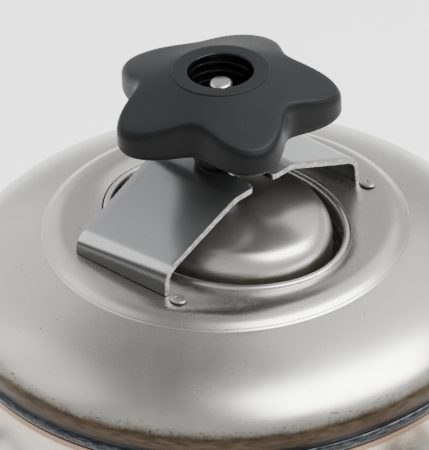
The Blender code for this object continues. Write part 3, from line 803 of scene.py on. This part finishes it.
def head_rows():
    """The top head's outer surface: a flange, an ellipse of the dome's rise and the wall's radius,
    a fine line on the ridge, a raised ring, and a roll down from the crest circle to the oval lip."""
    last = math.acos(RIDGE_RADIUS / WALL_RADIUS)
    turns = np.append(np.linspace(0, last, 46)[:-1], last - 0.003)
    dome = np.column_stack((WALL_RADIUS * np.cos(turns), DOME_BASE_Z + DOME_RISE * np.sin(turns)))
    flange = [(WALL_RADIUS, RIDGE_Z - 40.0), (WALL_RADIUS, RIDGE_Z - 37.0)]
    crease = 98.2
    climb = [
        (RIDGE_RADIUS, 0), (crease, 0.5), (96.5, 1.65), (94.3, 3.0), (91.5, 4.15), (88.3, 4.8),
        (CREST_RADIUS, CREST_RISE),
    ]
    ring = eased([(radius, RIDGE_Z + rise) for radius, rise in climb], 10)
    ring[:, 1] += sizes().bead * np.exp(-(((ring[:, 0] - crease) / 0.4) ** 2))
    outer = spun(np.vstack((flange, dome, ring)), 240)
    share = np.linspace(0, 1, 26)[1:, None]
    halves = CREST_RADIUS + (OPENING[None, :] - CREST_RADIUS) * share
    crest_z = RIDGE_Z + CREST_RISE
    height = crest_z - (crest_z - LIP_Z) * share**2
    return np.vstack((outer, around(halves[:, :1], halves[:, 1:], angles(240), height)))


class MakeHead(bpy.types.Operator):
    """Top head with its ridge and oval lip, the seat ring and the bridge's stops."""

    bl_idname = "canner.head"
    bl_label = "Head and seat"

    def execute(self, context):
        sheet_of(skin("top_head", "skin", head_rows(), head_finish()), SHEET)
        self.seat()
        for side, node in ((-1, "bridge_stop_left"), (1, "bridge_stop_right")):
            skin(node, "skin", self.stop(side), stop_finish())
        return {"FINISHED"}

    def seat(self):
        """The seat ring: an upright wall inside the opening whose rolled top stands on the lip."""
        roll = [(0.0, -0.6), (0.8, 0.8), (2.3, 1.3), (3.6, 0.5), (4.3, -1.2)]
        top = eased([(offset, LIP_Z + rise) for offset, rise in roll], 5)
        loop = [(0.0, SEAT_BOTTOM_Z), *top, (roll[-1][0], SEAT_BOTTOM_Z)]
        profile = [(-offset, height) for offset, height in loop]
        skin("seat_ring", "skin", oval(profile, OPENING - GAP), head_finish(), along=True)

    def stop(self, side):
        """A tear-drop pip: ovals that shrink as a power of the cosine while they rise as the same
        power of the sine, dished a little in the middle and drawn out to the front."""
        climb = np.linspace(0, math.pi / 2, 12)[:-1, None]
        turns = angles(40)
        out = np.vstack((np.cos(climb) ** 0.6, [[0.3], [0.0]]))
        rise = np.vstack((np.sin(climb) ** 0.6, [[0.78], [0.7]]))
        drawn = (1 + STOP_DRAWN * np.maximum(-np.sin(turns), 0) ** 2) / (1 + STOP_DRAWN)
        x, y = STOP_HALF
        grid = around(x * out, y * out * drawn, turns, BRIDGE_LOW[2] + STOP_HEIGHT * rise)
        grid[..., :2] += (side * STOP_X, STOP_Y)
        foot = grid[:1].copy()
        foot[..., :2] = (side * STOP_X, STOP_Y)
        return np.vstack((foot, grid))


def bead_rows(low, high, ripple, pitch):
    """A weld bead: an arch across its height, with ripples along the seam that bow back at the
    bead's edges. The last rows close it along the inside of the wall."""
    count = int(round(TURN * WALL_RADIUS / pitch))
    turns = angles(count * 6)[None, :]
    climb = np.linspace(0, 1, 13)[:, None]
    bow = 1.1 * (climb * 2 - 1) ** 2
    wave = np.cos(count * turns - bow * TURN * 0.35)
    swell = 0.12 * np.sin(7 * turns) + 0.08 * np.sin(19 * turns + 1.0)
    arch = np.sin(math.pi * climb) ** 0.7
    radius = WALL_RADIUS - BEAD_SINK + arch * (BEAD_RISE + ripple * (wave - 1) * 0.5 + swell)
    outer = around(radius, radius, turns, low + (high - low) * climb)
    back = WALL_RADIUS - SHEET
    inner = spun([(back, high), (back, low)], count * 6)
    return np.vstack((outer, inner))


class MakeWelds(bpy.types.Operator):
    """The two rippled seams that join the heads to the body."""

    bl_idname = "canner.welds"
    bl_label = "Seam welds"

    def execute(self, context):
        for node in ("upper_seam_weld", "lower_seam_weld"):
            rows = bead_rows(*levels(node), sizes().ripple, sizes().pitch)
            skin(node, "bead", rows, weld_finish(), "vessel", 60, True)
        return {"FINISHED"}


class MakeBody(bpy.types.Operator):
    """Body wall, bottom head, foot ring, grate and handles."""

    bl_idname = "canner.body"
    bl_label = "Body"

    def execute(self, context):
        wall = block(WALL_RADIUS, WALL_RADIUS - SHEET, WALL_LOW[2], WALL_HIGH[2])
        rows = spun(rounded_loop(wall, 0.3), 240)
        skin("body_wall", "skin", rows, wall_finish(), along=True)
        self.bottom()
        self.foot()
        paint("jar_grate", lower_finish())
        for side, node in ((-1, "handle_left"), (1, "handle_right")):
            self.handle(side, node)
        return {"FINISHED"}

    def bottom(self):
        """The bottom head: the same ellipse as the top's, hanging down to its pole."""
        top = levels("bottom_head")[1]
        turns = np.linspace(0, math.pi / 2, 50)
        depth = top - HEAD_FLANGE - DOME_RISE * np.sin(turns)
        dome = np.column_stack((WALL_RADIUS * np.cos(turns), depth))
        rows = spun(np.vstack(([(WALL_RADIUS, top)], dome)))
        sheet_of(skin("bottom_head", "skin", rows, lower_finish()), SHEET)

    def foot(self):
        """The base ring: an upright band that flares to a rim on the ground."""
        low, high = levels("base_ring")
        inside = BASE_RADIUS - BASE_SHEET
        flare = [(BASE_RADIUS, 6.0), (BASE_RADIUS + 7.8, 2.6), (BASE_RADIUS + 8.0, low)]
        loop = [(BASE_RADIUS, high), *flare, (inside, low), (inside, high)]
        rows = spun(rounded_loop(loop, 0.9, 4))
        skin("base_ring", "skin", rows, lower_finish(), along=True)

    def handle(self, side, node):
        """A bent rod whose radius swells into a weld fillet at each end. Only its first end has a
        cap; both ends stand against the wall."""
        low, high = span(node)
        out = max(abs(low[0]), abs(high[0])) - HANDLE_ROD
        reach = max(abs(low[1] - AXIS_Y), abs(high[1] - AXIS_Y)) - HANDLE_ROD
        turn = math.asin(reach / WALL_RADIUS)
        root = WALL_RADIUS + 0.2
        near = (side * root * math.cos(turn), root * math.sin(turn), FITTING_Z)
        far = (side * out, out * math.tan(turn), FITTING_Z)
        corners = [near, far, (far[0], -far[1], far[2]), (near[0], -near[1], near[2])]
        path = filleted(corners, [HANDLE_BEND, HANDLE_BEND], 14)
        travel = lengths(path)
        whole = travel[-1]
        middle = np.linspace(0, whole, 90)
        middle = middle[(middle > HANDLE_ROD) & (middle < whole - HANDLE_ROD)]
        close = np.linspace(0, HANDLE_ROD, 8)
        fine = np.concatenate((close, middle, whole - close[::-1]))
        route = np.column_stack([np.interp(fine, travel, path[:, k]) for k in range(3)])
        ends = np.minimum(fine, whole - fine)
        rows = tube(route, HANDLE_ROD + HANDLE_FILLET * np.exp(-ends / 1.6))
        cap = np.repeat(route[:1, None], rows.shape[1], axis=1)
        steel = turned_finish("handle_steel", tuple(colours().steel), 0.24)
        skin(node, "rod", np.vstack((cap, rows)), steel)


# ---------------------------------------------------------------- lid


class MakeLid(bpy.types.Operator):
    """Inner lid, gasket, threaded stud and its collar."""

    bl_idname = "canner.lid"
    bl_label = "Lid and stud"

    def execute(self, context):
        lid = skin("inner_lid", "skin", self.lid_rows(), lid_finish(), "lid")
        sheet_of(lid, LID_SHEET)
        rubber = dull_finish("gasket_rubber", tuple(colours().rubber), 0.7)
        gasket = oval(rounded_loop(block(12.7, 2.8, *levels("lid_gasket")), 0.8), LID_WALL)
        skin("lid_gasket", "skin", gasket, rubber, "lid", along=True)
        steel = turned_finish("stud_steel", shade(colours().steel, 0.95), 0.3)
        skin("lid_stud", "thread", self.stud_rows(), steel, "lid", 50)
        foot = LID_TOP_Z + GAP
        bore = STUD_RADIUS + GAP
        collar = [(bore, foot), (11.0, foot), (10.4, foot + 1.6), (7.6, foot + 4.2), (bore, foot + 5)]
        rows = spun(rounded_loop(collar, 0.6), 64)
        skin("stud_collar", "bead", rows, weld_finish(), "lid", along=True)
        return {"FINISHED"}

    def lid_rows(self):
        """Offsets from the lid's oval wall: the flange, the wall, a shoulder that is a stretched
        arc, and then a shallow dome whose half widths shrink to the middle."""
        z = LID_FLANGE_Z
        foot = filleted([(LID_FLANGE, z), (0.0, z), (0.0, LID_WALL_TOP_Z)], [2.4], 6)
        shoulder = np.array(arc(-LID_SHOULDER, 0.0, LID_SHOULDER, 0, LID_SHOULDER_TURN, 18)[1:])
        shoulder = shoulder * (1.0, LID_STRETCH) + (0.0, LID_WALL_TOP_Z)
        rows = oval(np.vstack((foot, shoulder)), LID_WALL)
        edge = rows[-1]
        share = np.linspace(1, 0, 22)[1:, None]
        end_slope = LID_STRETCH / math.tan(math.radians(LID_SHOULDER_TURN))
        rise = LID_TOP_Z - edge[0, 2]
        height = LID_TOP_Z - rise * share ** (end_slope * LID_DOME_REACH / rise)
        levelled = np.broadcast_arrays(edge[:, 0] * share, edge[:, 1] * share, height)
        return np.vstack((rows, np.stack(levelled, axis=-1)))

    def stud_rows(self):
        """A thread: the radius falls by the thread's depth as a triangle wave of the height less
        the turn, one pitch a turn, and fades out at the chamfered end."""
        low = LID_TOP_Z + GAP
        top = STUD_TOP_Z - STUD_CHAMFER
        height = np.arange(low, top, THREAD_PITCH / 8)[:, None]
        turns = angles(48)[None, :]
        phase = (height / THREAD_PITCH - turns / TURN) % 1.0
        fade = np.clip((height - low - 4) / 2, 0, 1) * np.clip((top - height) / 1.2, 0, 1)
        radius = STUD_RADIUS - sizes().thread * np.abs(2 * phase - 1) * fade
        chamfer = [(STUD_RADIUS, top), (STUD_RADIUS - 0.9, STUD_TOP_Z - 0.1)]
        end = [*chamfer, (STUD_RADIUS - 1.3, STUD_TOP_Z), (0, STUD_TOP_Z)]
        return np.vstack((spun([(0, low)], 48), around(radius, radius, turns, height), spun(end, 48)))


# ---------------------------------------------------------------- bridge


class MakeBridge(bpy.types.Operator):
    """The bent strap with its slot."""

    bl_idname = "canner.bridge"
    bl_label = "Bridge"

    def execute(self, context):
        skin("bridge_strap", "sheet", self.strap(), bridge_finish(), "bridge", 40)
        return {"FINISHED"}

    def front(self, length):
        """Half of the strap's front outline as (along, across), from the slot's inner end over the
        mouth to the foot, and where each point's line meets the back edge."""
        end = arc(0, 0, SLOT_HALF, 90, 0, 12)
        wall = [(SLOT_HALF, y) for y in np.linspace(-1.5, BRIDGE_FRONT_Y + SLOT_MOUTH + 0.5, 16)]
        mouth = arc(SLOT_HALF + SLOT_MOUTH, BRIDGE_FRONT_Y + SLOT_MOUTH, SLOT_MOUTH, 180, 270, 8)
        slot = end + wall + mouth
        near = np.linspace(SLOT_HALF + SLOT_MOUTH + 1, BRIDGE_FLAT_X - 3, 12)
        rest = np.linspace(BRIDGE_FLAT_X - 2.5, length, 210)
        behind = np.linspace(0, 16.5, len(slot))
        back = np.concatenate((behind, np.linspace(17, BRIDGE_FLAT_X - 3, 12), rest))
        edge = np.array(slot + [(x, BRIDGE_FRONT_Y) for x in np.concatenate((near, rest))])
        return edge, back

    def cut(self, edge):
        """How far the sheared front edge wanders back: two sines of the length."""
        length = edge[:, 0]
        wander = 0.1 + 0.05 * np.sin(length * 2.1) + 0.04 * np.sin(length * 5.3 + 1)
        return np.where(edge[:, 1] < BRIDGE_FRONT_Y + 0.01, wander, 0)

    def section(self):
        """Round the sheet from the front edge: each place's share of the width, its shift along
        the width and its depth below the outer face."""
        edge = sizes().edge
        inset, depth = edge - np.array(arc(0, 0, edge, 90, 0, 4)).T
        across = np.linspace(0, 1, 15)[1:-1]
        level = 0 * across
        front, back = 0 * inset, 1 + 0 * inset
        share = np.concatenate((front, across, back, back, across[::-1], front))
        shift = np.concatenate((inset[::-1], level, -inset, -inset[::-1], level, inset))
        outer = np.concatenate((depth[::-1], level, depth))
        return share, shift, np.concatenate((outer, BRIDGE_SHEET - outer))

    def strap(self):
        """A section carried along the sheet. Each place (along, across, depth) in the flat sheet
        takes its X and height from the bent side view and its normal. The section runs over the
        outer face, round the back edge, under the inner face and round the front edge."""
        flat_part = [(0, BRIDGE_TOP_Z), (BRIDGE_FLAT_X, BRIDGE_TOP_Z)]
        wing = [(BRIDGE_BEND_X, BRIDGE_BEND_Z), (BRIDGE_FOOT_X, BRIDGE_LOW[2])]
        side = filleted(flat_part + wing, [4.0, 7.6], 16)
        along = lengths(side)
        edge, back = self.front(along[-1])
        direction = np.column_stack((back, np.full(len(back), BRIDGE_REAR_Y))) - edge
        width = np.linalg.norm(direction, axis=1, keepdims=True)
        direction /= width
        edge = edge + np.column_stack((0 * back, self.cut(edge)))
        share, shift, deep = self.section()
        travel = share * width + shift
        flat = edge[:, None] + direction[:, None] * travel[..., None]
        deep = np.repeat(deep[None, :], len(edge), axis=0)
        flat = np.concatenate((flat, flat[-1:]))
        deep = np.concatenate((deep, np.full_like(deep[:1], BRIDGE_SHEET / 2)))
        slope = np.gradient(side, along, axis=0)
        slope /= np.linalg.norm(slope, axis=1, keepdims=True)
        ahead, climb = [np.interp(flat[..., 0], along, slope[:, k]) for k in (0, 1)]
        x = np.interp(flat[..., 0], along, side[:, 0]) + deep * climb
        z = np.interp(flat[..., 0], along, side[:, 1]) - deep * ahead
        half = np.stack((x, flat[..., 1], z), axis=-1)
        return self.skewed(np.vstack((half[:0:-1] * (-1, 1, 1), half)))

    def skewed(self, grid):
        """The left wing goes out and down in proportion to its distance from the front and from
        the flat top. Below the bend the drop fades out, so that the foot stays down."""
        back = (grid[..., 1] - BRIDGE_FRONT_Y) / (BRIDGE_REAR_Y - BRIDGE_FRONT_Y)
        wing = np.clip((-grid[..., 0] - BRIDGE_FLAT_X) / (BRIDGE_BEND_X - BRIDGE_FLAT_X), 0, 1)
        height = np.clip((grid[..., 2] - BRIDGE_LOW[2]) / (BRIDGE_BEND_Z - BRIDGE_LOW[2]), 0, 1)
        grid[..., 0] -= SKEW_OUT * back * wing
        grid[..., 2] -= SKEW_DOWN * back * wing * height
        return grid


# ---------------------------------------------------------------- knob


class MakeKnob(bpy.types.Operator):
    """Star knob with its ringed bore, the nut in it and the washer below."""

    bl_idname = "canner.knob"
    bl_label = "Knob"

    def execute(self, context):
        skin("star_knob", "body", self.rows(), knob_finish(), "knob", 42, True)
        nut = rounded_loop(block(11.0, STUD_RADIUS + GAP, *levels("knob_nut")), 0.5)
        skin("knob_nut", "ring", spun(nut, 64), brass(), "knob", along=True)
        washer = rounded_loop(block(13.0, STUD_RADIUS + 2 * GAP, *levels("thrust_washer")), 0.4)
        nylon = dull_finish("washer_nylon", (0.018, 0.018, 0.018), 0.5)
        skin("thrust_washer", "ring", spun(washer, 64), nylon, "knob", along=True)
        return {"FINISHED"}

    def rows(self):
        """Rings of a star: the radius and the height both swing from a valley's to a lobe's as
        half of one plus the cosine of five times the turn. The bore's wall carries a coarse
        helix, a sine of the height less the turn."""
        outside = [
            (15.5, 0, 15.5, 0), (16, 1.0, 16, 1.0), (16, 5, 16, 5), (16, 9, 16, 9),
            (18.5, 14.5, 18.5, 14.5), (26, 19, 31, 19), (37, 22.5, 51, 22.5), (42, 25.0, 58.7, 24.0),
            (44.2, 28.5, 62.2, 27.0), (44.5, 33, 62.5, 30.5), (44.5, 39, 62.5, 33.6),
            (44.3, 42.6, 62.3, 36.2), (43.2, 45.6, 61.0, 38.9), (40.8, 47.5, 57.5, 41.4),
            (33, 50.2, 41, 47), (26.3, 52.3, 26.9, 52.1),
        ]
        body = eased(outside, 7)
        rim = [(25.6, 52.5), (25.3, 53.2), (BORE_RADIUS + 0.9, 53.1)]
        lip = filleted([*rim, (BORE_RADIUS, 52.2), (BORE_RADIUS, 51)], [0.4, 0.6, 0.6], 4)
        height = np.linspace(BORE_TOP, BORE_FLOOR, 60)
        bore = np.column_stack((np.full(60, BORE_RADIUS), height))
        floor = [(11.3, BORE_FLOOR), (11.3, 9), (6.6, 9), (6.6, 0)]
        round_part = np.vstack((lip, bore, floor))
        table = np.vstack((body, np.hstack((round_part, round_part))))
        turns = angles(260)[None, :] + LOBE_ANGLE
        share = (1 + np.cos(LOBES * (turns - LOBE_ANGLE))) / 2
        radius = table[:, 0:1] * (1 - share) + table[:, 2:3] * share
        z = table[:, 1:2] * (1 - share) + table[:, 3:4] * share
        first = len(body) + len(lip)
        threaded = slice(first, first + len(bore))
        level = z[threaded]
        wave = np.cos(TURN * level / BORE_PITCH - turns)
        ends = np.clip((level - BORE_FLOOR) / 1.5, 0, 1) * np.clip((BORE_TOP - level) / 2.0, 0, 1)
        radius[threaded] -= BORE_THREAD * np.maximum(wave, 0) ** 1.5 * ends
        return around(radius, radius, turns, KNOB_BOTTOM_Z + z)


# ---------------------------------------------------------------- fittings


def port(azimuth):
    """A place on the wall: its Z points straight out and its Y points up."""
    angle = math.radians(azimuth)
    outward = Vector((math.cos(angle), math.sin(angle), 0))
    up = Vector((0, 0, 1))
    turn = Matrix((up.cross(outward), up, outward)).transposed().to_4x4()
    return Matrix.Translation(outward * WALL_RADIUS + up * FITTING_Z) @ turn


def sleeve(prefix, place, inner, outer, length):
    """A short welded sleeve with a flared foot."""
    foot = [(inner, 0.0), (outer + 1.6, 0.0), (outer + 0.5, 1.2), (outer, 3.0)]
    loop = rounded_loop(foot + [(outer, length), (inner, length)], 0.5)
    rows = placed(spun(loop, 64), place)
    skin(prefix + "_socket", "sleeve", rows, fitting_steel(), along=True)


def tick(inner, outer, width, low, thick, turn):
    """A flat bar from one radius to another at a turn, as a grid of 4 rings."""
    half = width / 2
    base = np.array([(inner, -half), (outer, -half), (outer, half), (inner, half)])
    spin = np.array([(math.cos(turn), -math.sin(turn)), (math.sin(turn), math.cos(turn))])
    ring = base @ spin.T
    middle = ring.mean(axis=0, keepdims=True).repeat(4, axis=0)
    layers = ((middle, low), (ring, low), (ring, low + thick), (middle, low + thick))
    return np.stack([np.column_stack((flat, np.full(4, z))) for flat, z in layers])


class MakeInstruments(bpy.types.Operator):
    """Pressure gauge and thermometer: sleeves, stems, cases, dials with marks, pointers, windows
    and milled bezels."""

    bl_idname = "canner.instruments"
    bl_label = "Dial instruments"

    def execute(self, context):
        self.instrument("gauge", GAUGE_AZIMUTH, 6, 1)
        self.instrument("thermo", THERMO_AZIMUTH, 15, 10)
        return {"FINISHED"}

    def instrument(self, prefix, azimuth, count, step):
        """One instrument, from its sleeve to its window. Its scale has count spans, a step each."""
        place = port(azimuth)
        sleeve(prefix, place, 7.2, 12.0, 12.0)
        paint(prefix + "_stem", brass())
        self.case(prefix, place)
        black = dull_finish("dial_ink", (0.015, 0.015, 0.015), 0.5)
        self.dial(prefix, place, count, black)
        self.numbers(prefix, place, count, step, black)
        paint(prefix + "_needle", dull_finish("pointer_paint", (0.02, 0.02, 0.02), 0.45))
        window = filleted([(0, 46.3), (29.7, 46.3), (29.7, 44.3), (0, 44.3)], [0.4, 0.4], 3)
        pane = placed(spun(window, 96), place)
        skin(prefix + "_window", "pane", pane, glass_finish())

    def case(self, prefix, place):
        """A cup with rounded corners, and a bezel whose rim is milled with ninety fine grooves."""
        polished = turned_finish("case_steel", shade(colours().steel, 1.05), 0.14)
        outside = [(0, 26.3), (27.5, 26.3), (30, 29), (30, 44), (28.5, 44)]
        inside = [(28.5, 37), (26, 37), (26, 28), (0, 28)]
        cup = filleted(outside + inside, [2.0, 1.5, 0.4, 0.4, 0.4, 0.8, 0.8], 4)
        skin(prefix + "_case", "cup", placed(spun(cup, 128), place), polished)
        bezel = [(27, 48.3), (31, 48.3), (32, 47.3), (32, 36), (30.4, 36), (30.4, 46.6), (27, 46.6)]
        rows = milled(spun(rounded_loop(bezel, 0.5), 720), 31.6, 37.0, 46.0, 90, 0.006)
        rows = placed(rows, place)
        skin(prefix + "_bezel", "ring", rows, polished, "vessel", 40, True)

    def dial(self, prefix, place, count, black):
        """A white disc with raised black marks on an arc: a long one at each number's place and
        four short ones between."""
        white = dull_finish("dial_face", tuple(colours().dial), 0.55)
        disc = spun(rounded_loop(block(28.2, 1.8, DIAL_BACK, DIAL_FACE), 0.2), 128)
        skin(prefix + "_dial", "disc", placed(disc, place), white, along=True)
        marks = []
        last = count * MARKS_PER_NUMBER
        for i in range(last + 1):
            turn = math.radians(DIAL_START + DIAL_SWEEP * i / last)
            inner, width = (23.6, 0.35) if i % MARKS_PER_NUMBER else (21.5, 0.7)
            marks.append(placed(tick(inner, 26.0, width, DIAL_FACE, 0.12, turn), place))
        name = prefix + "_dial_marks"
        piece(name, mesh_of(name, marks, 30), black, "vessel", [])

    def numbers(self, prefix, place, count, step, black):
        """Plain scale numbers: beside every long mark of a short scale, every third of a long one."""
        shape = bmesh.new()
        for i in range(0, count + 1, 1 if count < 8 else 3):
            turn = math.radians(DIAL_START + DIAL_SWEEP * i / count)
            text = bpy.data.curves.new("scale_number", "FONT")
            text.body = str(i * step)
            text.size = NUMBER_SIZE
            text.align_x = "CENTER"
            text.align_y = "CENTER"
            text.extrude = 0.05
            text.resolution_u = 3
            holder = bpy.data.objects.new("scale_number", text)
            mesh = bpy.data.meshes.new_from_object(holder)
            spot = Vector((math.cos(turn), math.sin(turn), 0)) * NUMBER_RADIUS
            at = Matrix.Translation(spot + Vector((0, 0, DIAL_FACE + 0.06)))
            metres = Matrix.Translation((0, AXIS_Y * MM, 0)) @ Matrix.Scale(MM, 4)
            mesh.transform(metres @ place @ at)
            shape.from_mesh(mesh)
            bpy.data.objects.remove(holder)
            bpy.data.meshes.remove(mesh)
        made = bpy.data.meshes.new(prefix + "_dial_numbers")
        shape.to_mesh(made)
        shape.free()
        piece(prefix + "_dial_numbers", made, black, "vessel", [])


class MakeValves(bpy.types.Operator):
    """Safety valve and air valve."""

    bl_idname = "canner.valves"
    bl_label = "Valves"

    def execute(self, context):
        place = port(VALVE_AZIMUTH)
        sleeve("valve", place, 7.2, 12.0, 12.0)
        for node in ("valve_body", "valve_plunger"):
            paint(node, brass())
        paint("valve_spring", fitting_steel())
        upright = place @ Matrix.Translation((0, 0, 27)) @ Matrix.Rotation(-math.pi / 2, 4, "X")
        self.valve_top(upright)
        self.air_valve(port(AIR_AZIMUTH))
        return {"FINISHED"}

    def valve_top(self, upright):
        """The hexagon cap with chamfered corners, and the pull ring above it."""
        nut = [(10.5, 34.3, 11.0), (10.5, 35.0, 12.2), (10.5, 38.2, 12.2), (10.5, 39.0, 11.0)]
        crown = [(8.0, 40.2), (7.6, 40.5), (2.3, 40.5), (2.3, 34.3), (8.0, 34.3)]
        rows = placed(hexed(nut + [(r * 0.97, z, r * 0.97) for r, z in crown]), upright)
        skin("valve_cap", "hexagon", rows, brass(), "vessel", 25, True)
        turns = angles(16)[::-1]
        loop = np.column_stack((6.5 + 1.1 * np.cos(turns), 1.1 * np.sin(turns)))
        lift = Matrix.Translation((0, 0, 46 + GAP + 7.6))
        stand = upright @ lift @ Matrix.Rotation(math.pi / 2, 4, "X")
        rows = placed(spun(loop, 72), stand)
        skin("valve_ring", "wire", rows, fitting_steel(), "valve_stem", 60, True)

    def air_valve(self, place):
        """A sleeve, a stem with its pin, and a fluted plastic cap."""
        sleeve("air", place, 4.6, 8.0, 8.0)
        paint("air_stem", brass())
        paint("air_pin", brass())
        corners = [(0, 33), (5.0, 33), (5.8, 32), (5.8, 17), (4.3, 17), (4.3, 31), (0, 31)]
        path = filleted(corners, [0.6, 0.5, 0.4, 0.4, 0.4], 3)
        rows = milled(spun(path, 120), 5.5, 0.0, 31.5, 20, 0.03)
        cap = dull_finish("cap_plastic", (0.02, 0.02, 0.02), 0.4)
        skin("air_cap", "shell", placed(rows, place), cap, "air_valve_cap", 40)


# ---------------------------------------------------------------- stage


class MakeStage(bpy.types.Operator):
    """Pale floor, soft lights and the camera."""

    bl_idname = "canner.stage"
    bl_label = "Stage"

    def execute(self, context):
        scene = context.scene
        self.floor(scene)
        setting = scene.canner_stage
        aim = Vector((0, AXIS_Y * MM, RIDGE_Z * MM))
        facing = Matrix.Translation(aim) @ Matrix.Rotation(setting.azimuth, 4, "Z")
        self.world(scene, facing.to_3x3())
        self.camera(scene, setting, facing)
        self.soft_box(scene, "key", facing, (0.85, -0.40, 1.27), -31.0, (1.5, 0.85), setting.key)
        self.soft_box(scene, "halo", facing, (1.0, 0.75, 1.65), 0.0, (1.8, 1.8), setting.key * 0.16)
        return {"FINISHED"}

    def floor(self, scene):
        """A flat round sheet, wide enough to fill every view."""
        rows = spun([(60000.0, 0.0), (400.0, 0.0), (0.0, 0.0)], 64)
        mesh = mesh_of("floor", [rows])
        floor = bpy.data.objects.new("floor", mesh)
        scene.collection.objects.link(floor)
        finish = Finish("floor_paper")
        soft = finish.noise(300.0, 2.0)
        tone = finish.mix(soft, (0.88, 0.88, 0.87), (0.92, 0.92, 0.91))
        mesh.materials.append(finish.wire(Base_Color=tone, Roughness=0.9, Emission_Color=(1.0, 1.0, 1.0)))
        finish.shader.inputs["Emission Strength"].default_value = 1.5

    def world(self, scene, facing):
        """Grey that darkens overhead, with two soft bright patches on the camera's left."""
        world = bpy.data.worlds.new("studio")
        world.use_nodes = True
        tree = world.node_tree
        place = tree.nodes.new("ShaderNodeTexCoord").outputs["Generated"]
        parts = tree.nodes.new("ShaderNodeSeparateXYZ")
        ramp = tree.nodes.new("ShaderNodeValToRGB")
        tree.links.new(place, parts.inputs[0])
        tree.links.new(parts.outputs["Z"], ramp.inputs["Fac"])
        stops = ((0.0, 0.80), (0.5, 0.72), (0.78, 0.50), (0.93, 0.24), (1.0, 0.20))
        elements = ramp.color_ramp.elements
        while len(elements) < len(stops):
            elements.new(1.0)
        for element, (height, grey) in zip(elements, stops):
            element.position = height
            element.color = (grey, grey, grey * 1.01, 1.0)
        total = ramp.outputs["Color"]
        for middle, rim, strength in (((-0.62, 0.65, 0.43), 0.86, 0.65), ((-0.80, 0.08, 0.60), 0.88, 0.80)):
            total = self.patch(tree, place, total, facing @ Vector(middle), rim, strength)
        tree.links.new(total, tree.nodes["Background"].inputs["Color"])
        scene.world = world

    def patch(self, tree, place, under, middle, rim, strength):
        """Adds light round a direction: none where the cosine to it is below rim, full 0.07 above."""
        toward = tree.nodes.new("ShaderNodeVectorMath")
        toward.operation = "DOT_PRODUCT"
        toward.inputs[1].default_value = middle.normalized()
        amount = tree.nodes.new("ShaderNodeMapRange")
        amount.interpolation_type = "SMOOTHSTEP"
        limits = {"From Min": rim, "From Max": rim + 0.07, "To Min": 0.0, "To Max": strength}
        for name, value in limits.items():
            amount.inputs[name].default_value = value
        total = tree.nodes.new("ShaderNodeVectorMath")
        tree.links.new(place, toward.inputs[0])
        tree.links.new(toward.outputs["Value"], amount.inputs["Value"])
        tree.links.new(under, total.inputs[0])
        tree.links.new(amount.outputs["Result"], total.inputs[1])
        return total.outputs["Vector"]

    def soft_box(self, scene, name, facing, place, turn, size, power):
        """A flat light at a place seen from the camera's side. It faces the ridge's centre and is
        turned about that line by an angle in degrees."""
        data = bpy.data.lights.new(name, "AREA")
        data.shape = "RECTANGLE"
        data.size, data.size_y = size
        data.energy = power
        lamp = bpy.data.objects.new(name, data)
        scene.collection.objects.link(lamp)
        aim = (-Vector(place)).to_track_quat("-Z", "Y").to_matrix().to_4x4()
        roll = Matrix.Rotation(math.radians(turn), 4, "Z")
        lamp.matrix_world = facing @ Matrix.Translation(place) @ aim @ roll

    def camera(self, scene, setting, facing):
        """The line of sight falls by the elevation, the frame turns by the roll, and the aim
        passes a little to the left of and above the ridge's centre."""
        ahead = Vector((0, math.cos(setting.elevation), -math.sin(setting.elevation)))
        right = Vector((1, 0, 0))
        up = right.cross(ahead)
        across = right * math.cos(setting.roll) + up * math.sin(setting.roll)
        over = up * math.cos(setting.roll) - right * math.sin(setting.roll)
        aim_right, aim_up = 0.004246, 0.001038
        place = -(ahead + across * aim_right + over * aim_up) * setting.distance
        data = bpy.data.cameras.new("camera")
        data.lens = setting.lens
        data.sensor_width = 36.0
        data.sensor_fit = "HORIZONTAL"
        data.clip_start = 0.05
        data.clip_end = 200.0
        camera = bpy.data.objects.new("camera", data)
        scene.collection.objects.link(camera)
        turn = Matrix((across, over, -ahead)).transposed().to_4x4()
        camera.matrix_world = facing @ Matrix.Translation(place) @ turn
        scene.camera = camera


# ---------------------------------------------------------------- add-on

STEPS = (MakeStage, MakeHead, MakeWelds, MakeBody, MakeLid, MakeBridge, MakeKnob, MakeInstruments, MakeValves)


class CannerPanel(bpy.types.Panel):
    """Lists the steps and the settings."""

    bl_idname = "VIEW3D_PT_canner"
    bl_label = "Pressure Canner"
    bl_space_type = "VIEW_3D"
    bl_region_type = "UI"
    bl_category = "Canner"

    def draw(self, context):
        for step in STEPS:
            self.layout.operator(step.bl_idname)
        scene = context.scene
        for group in (scene.canner_sizes, scene.canner_colours, scene.canner_stage):
            box = self.layout.box()
            for name in group.bl_rna.properties.keys():
                if name not in ("rna_type", "name"):
                    box.prop(group, name)


CLASSES = (CannerSizes, CannerColours, CannerStage, *STEPS, CannerPanel)


def register():
    for made in CLASSES:
        bpy.utils.register_class(made)
    bpy.types.Scene.canner_sizes = PointerProperty(type=CannerSizes)
    bpy.types.Scene.canner_colours = PointerProperty(type=CannerColours)
    bpy.types.Scene.canner_stage = PointerProperty(type=CannerStage)


def unregister():
    del bpy.types.Scene.canner_sizes
    del bpy.types.Scene.canner_colours
    del bpy.types.Scene.canner_stage
    for made in reversed(CLASSES):
        bpy.utils.unregister_class(made)


def main():
    register()
    for step in STEPS:
        family, name = step.bl_idname.split(".")
        getattr(getattr(bpy.ops, family), name)()
    bpy.context.view_layer.update()


if __name__ == "__main__":
    main()
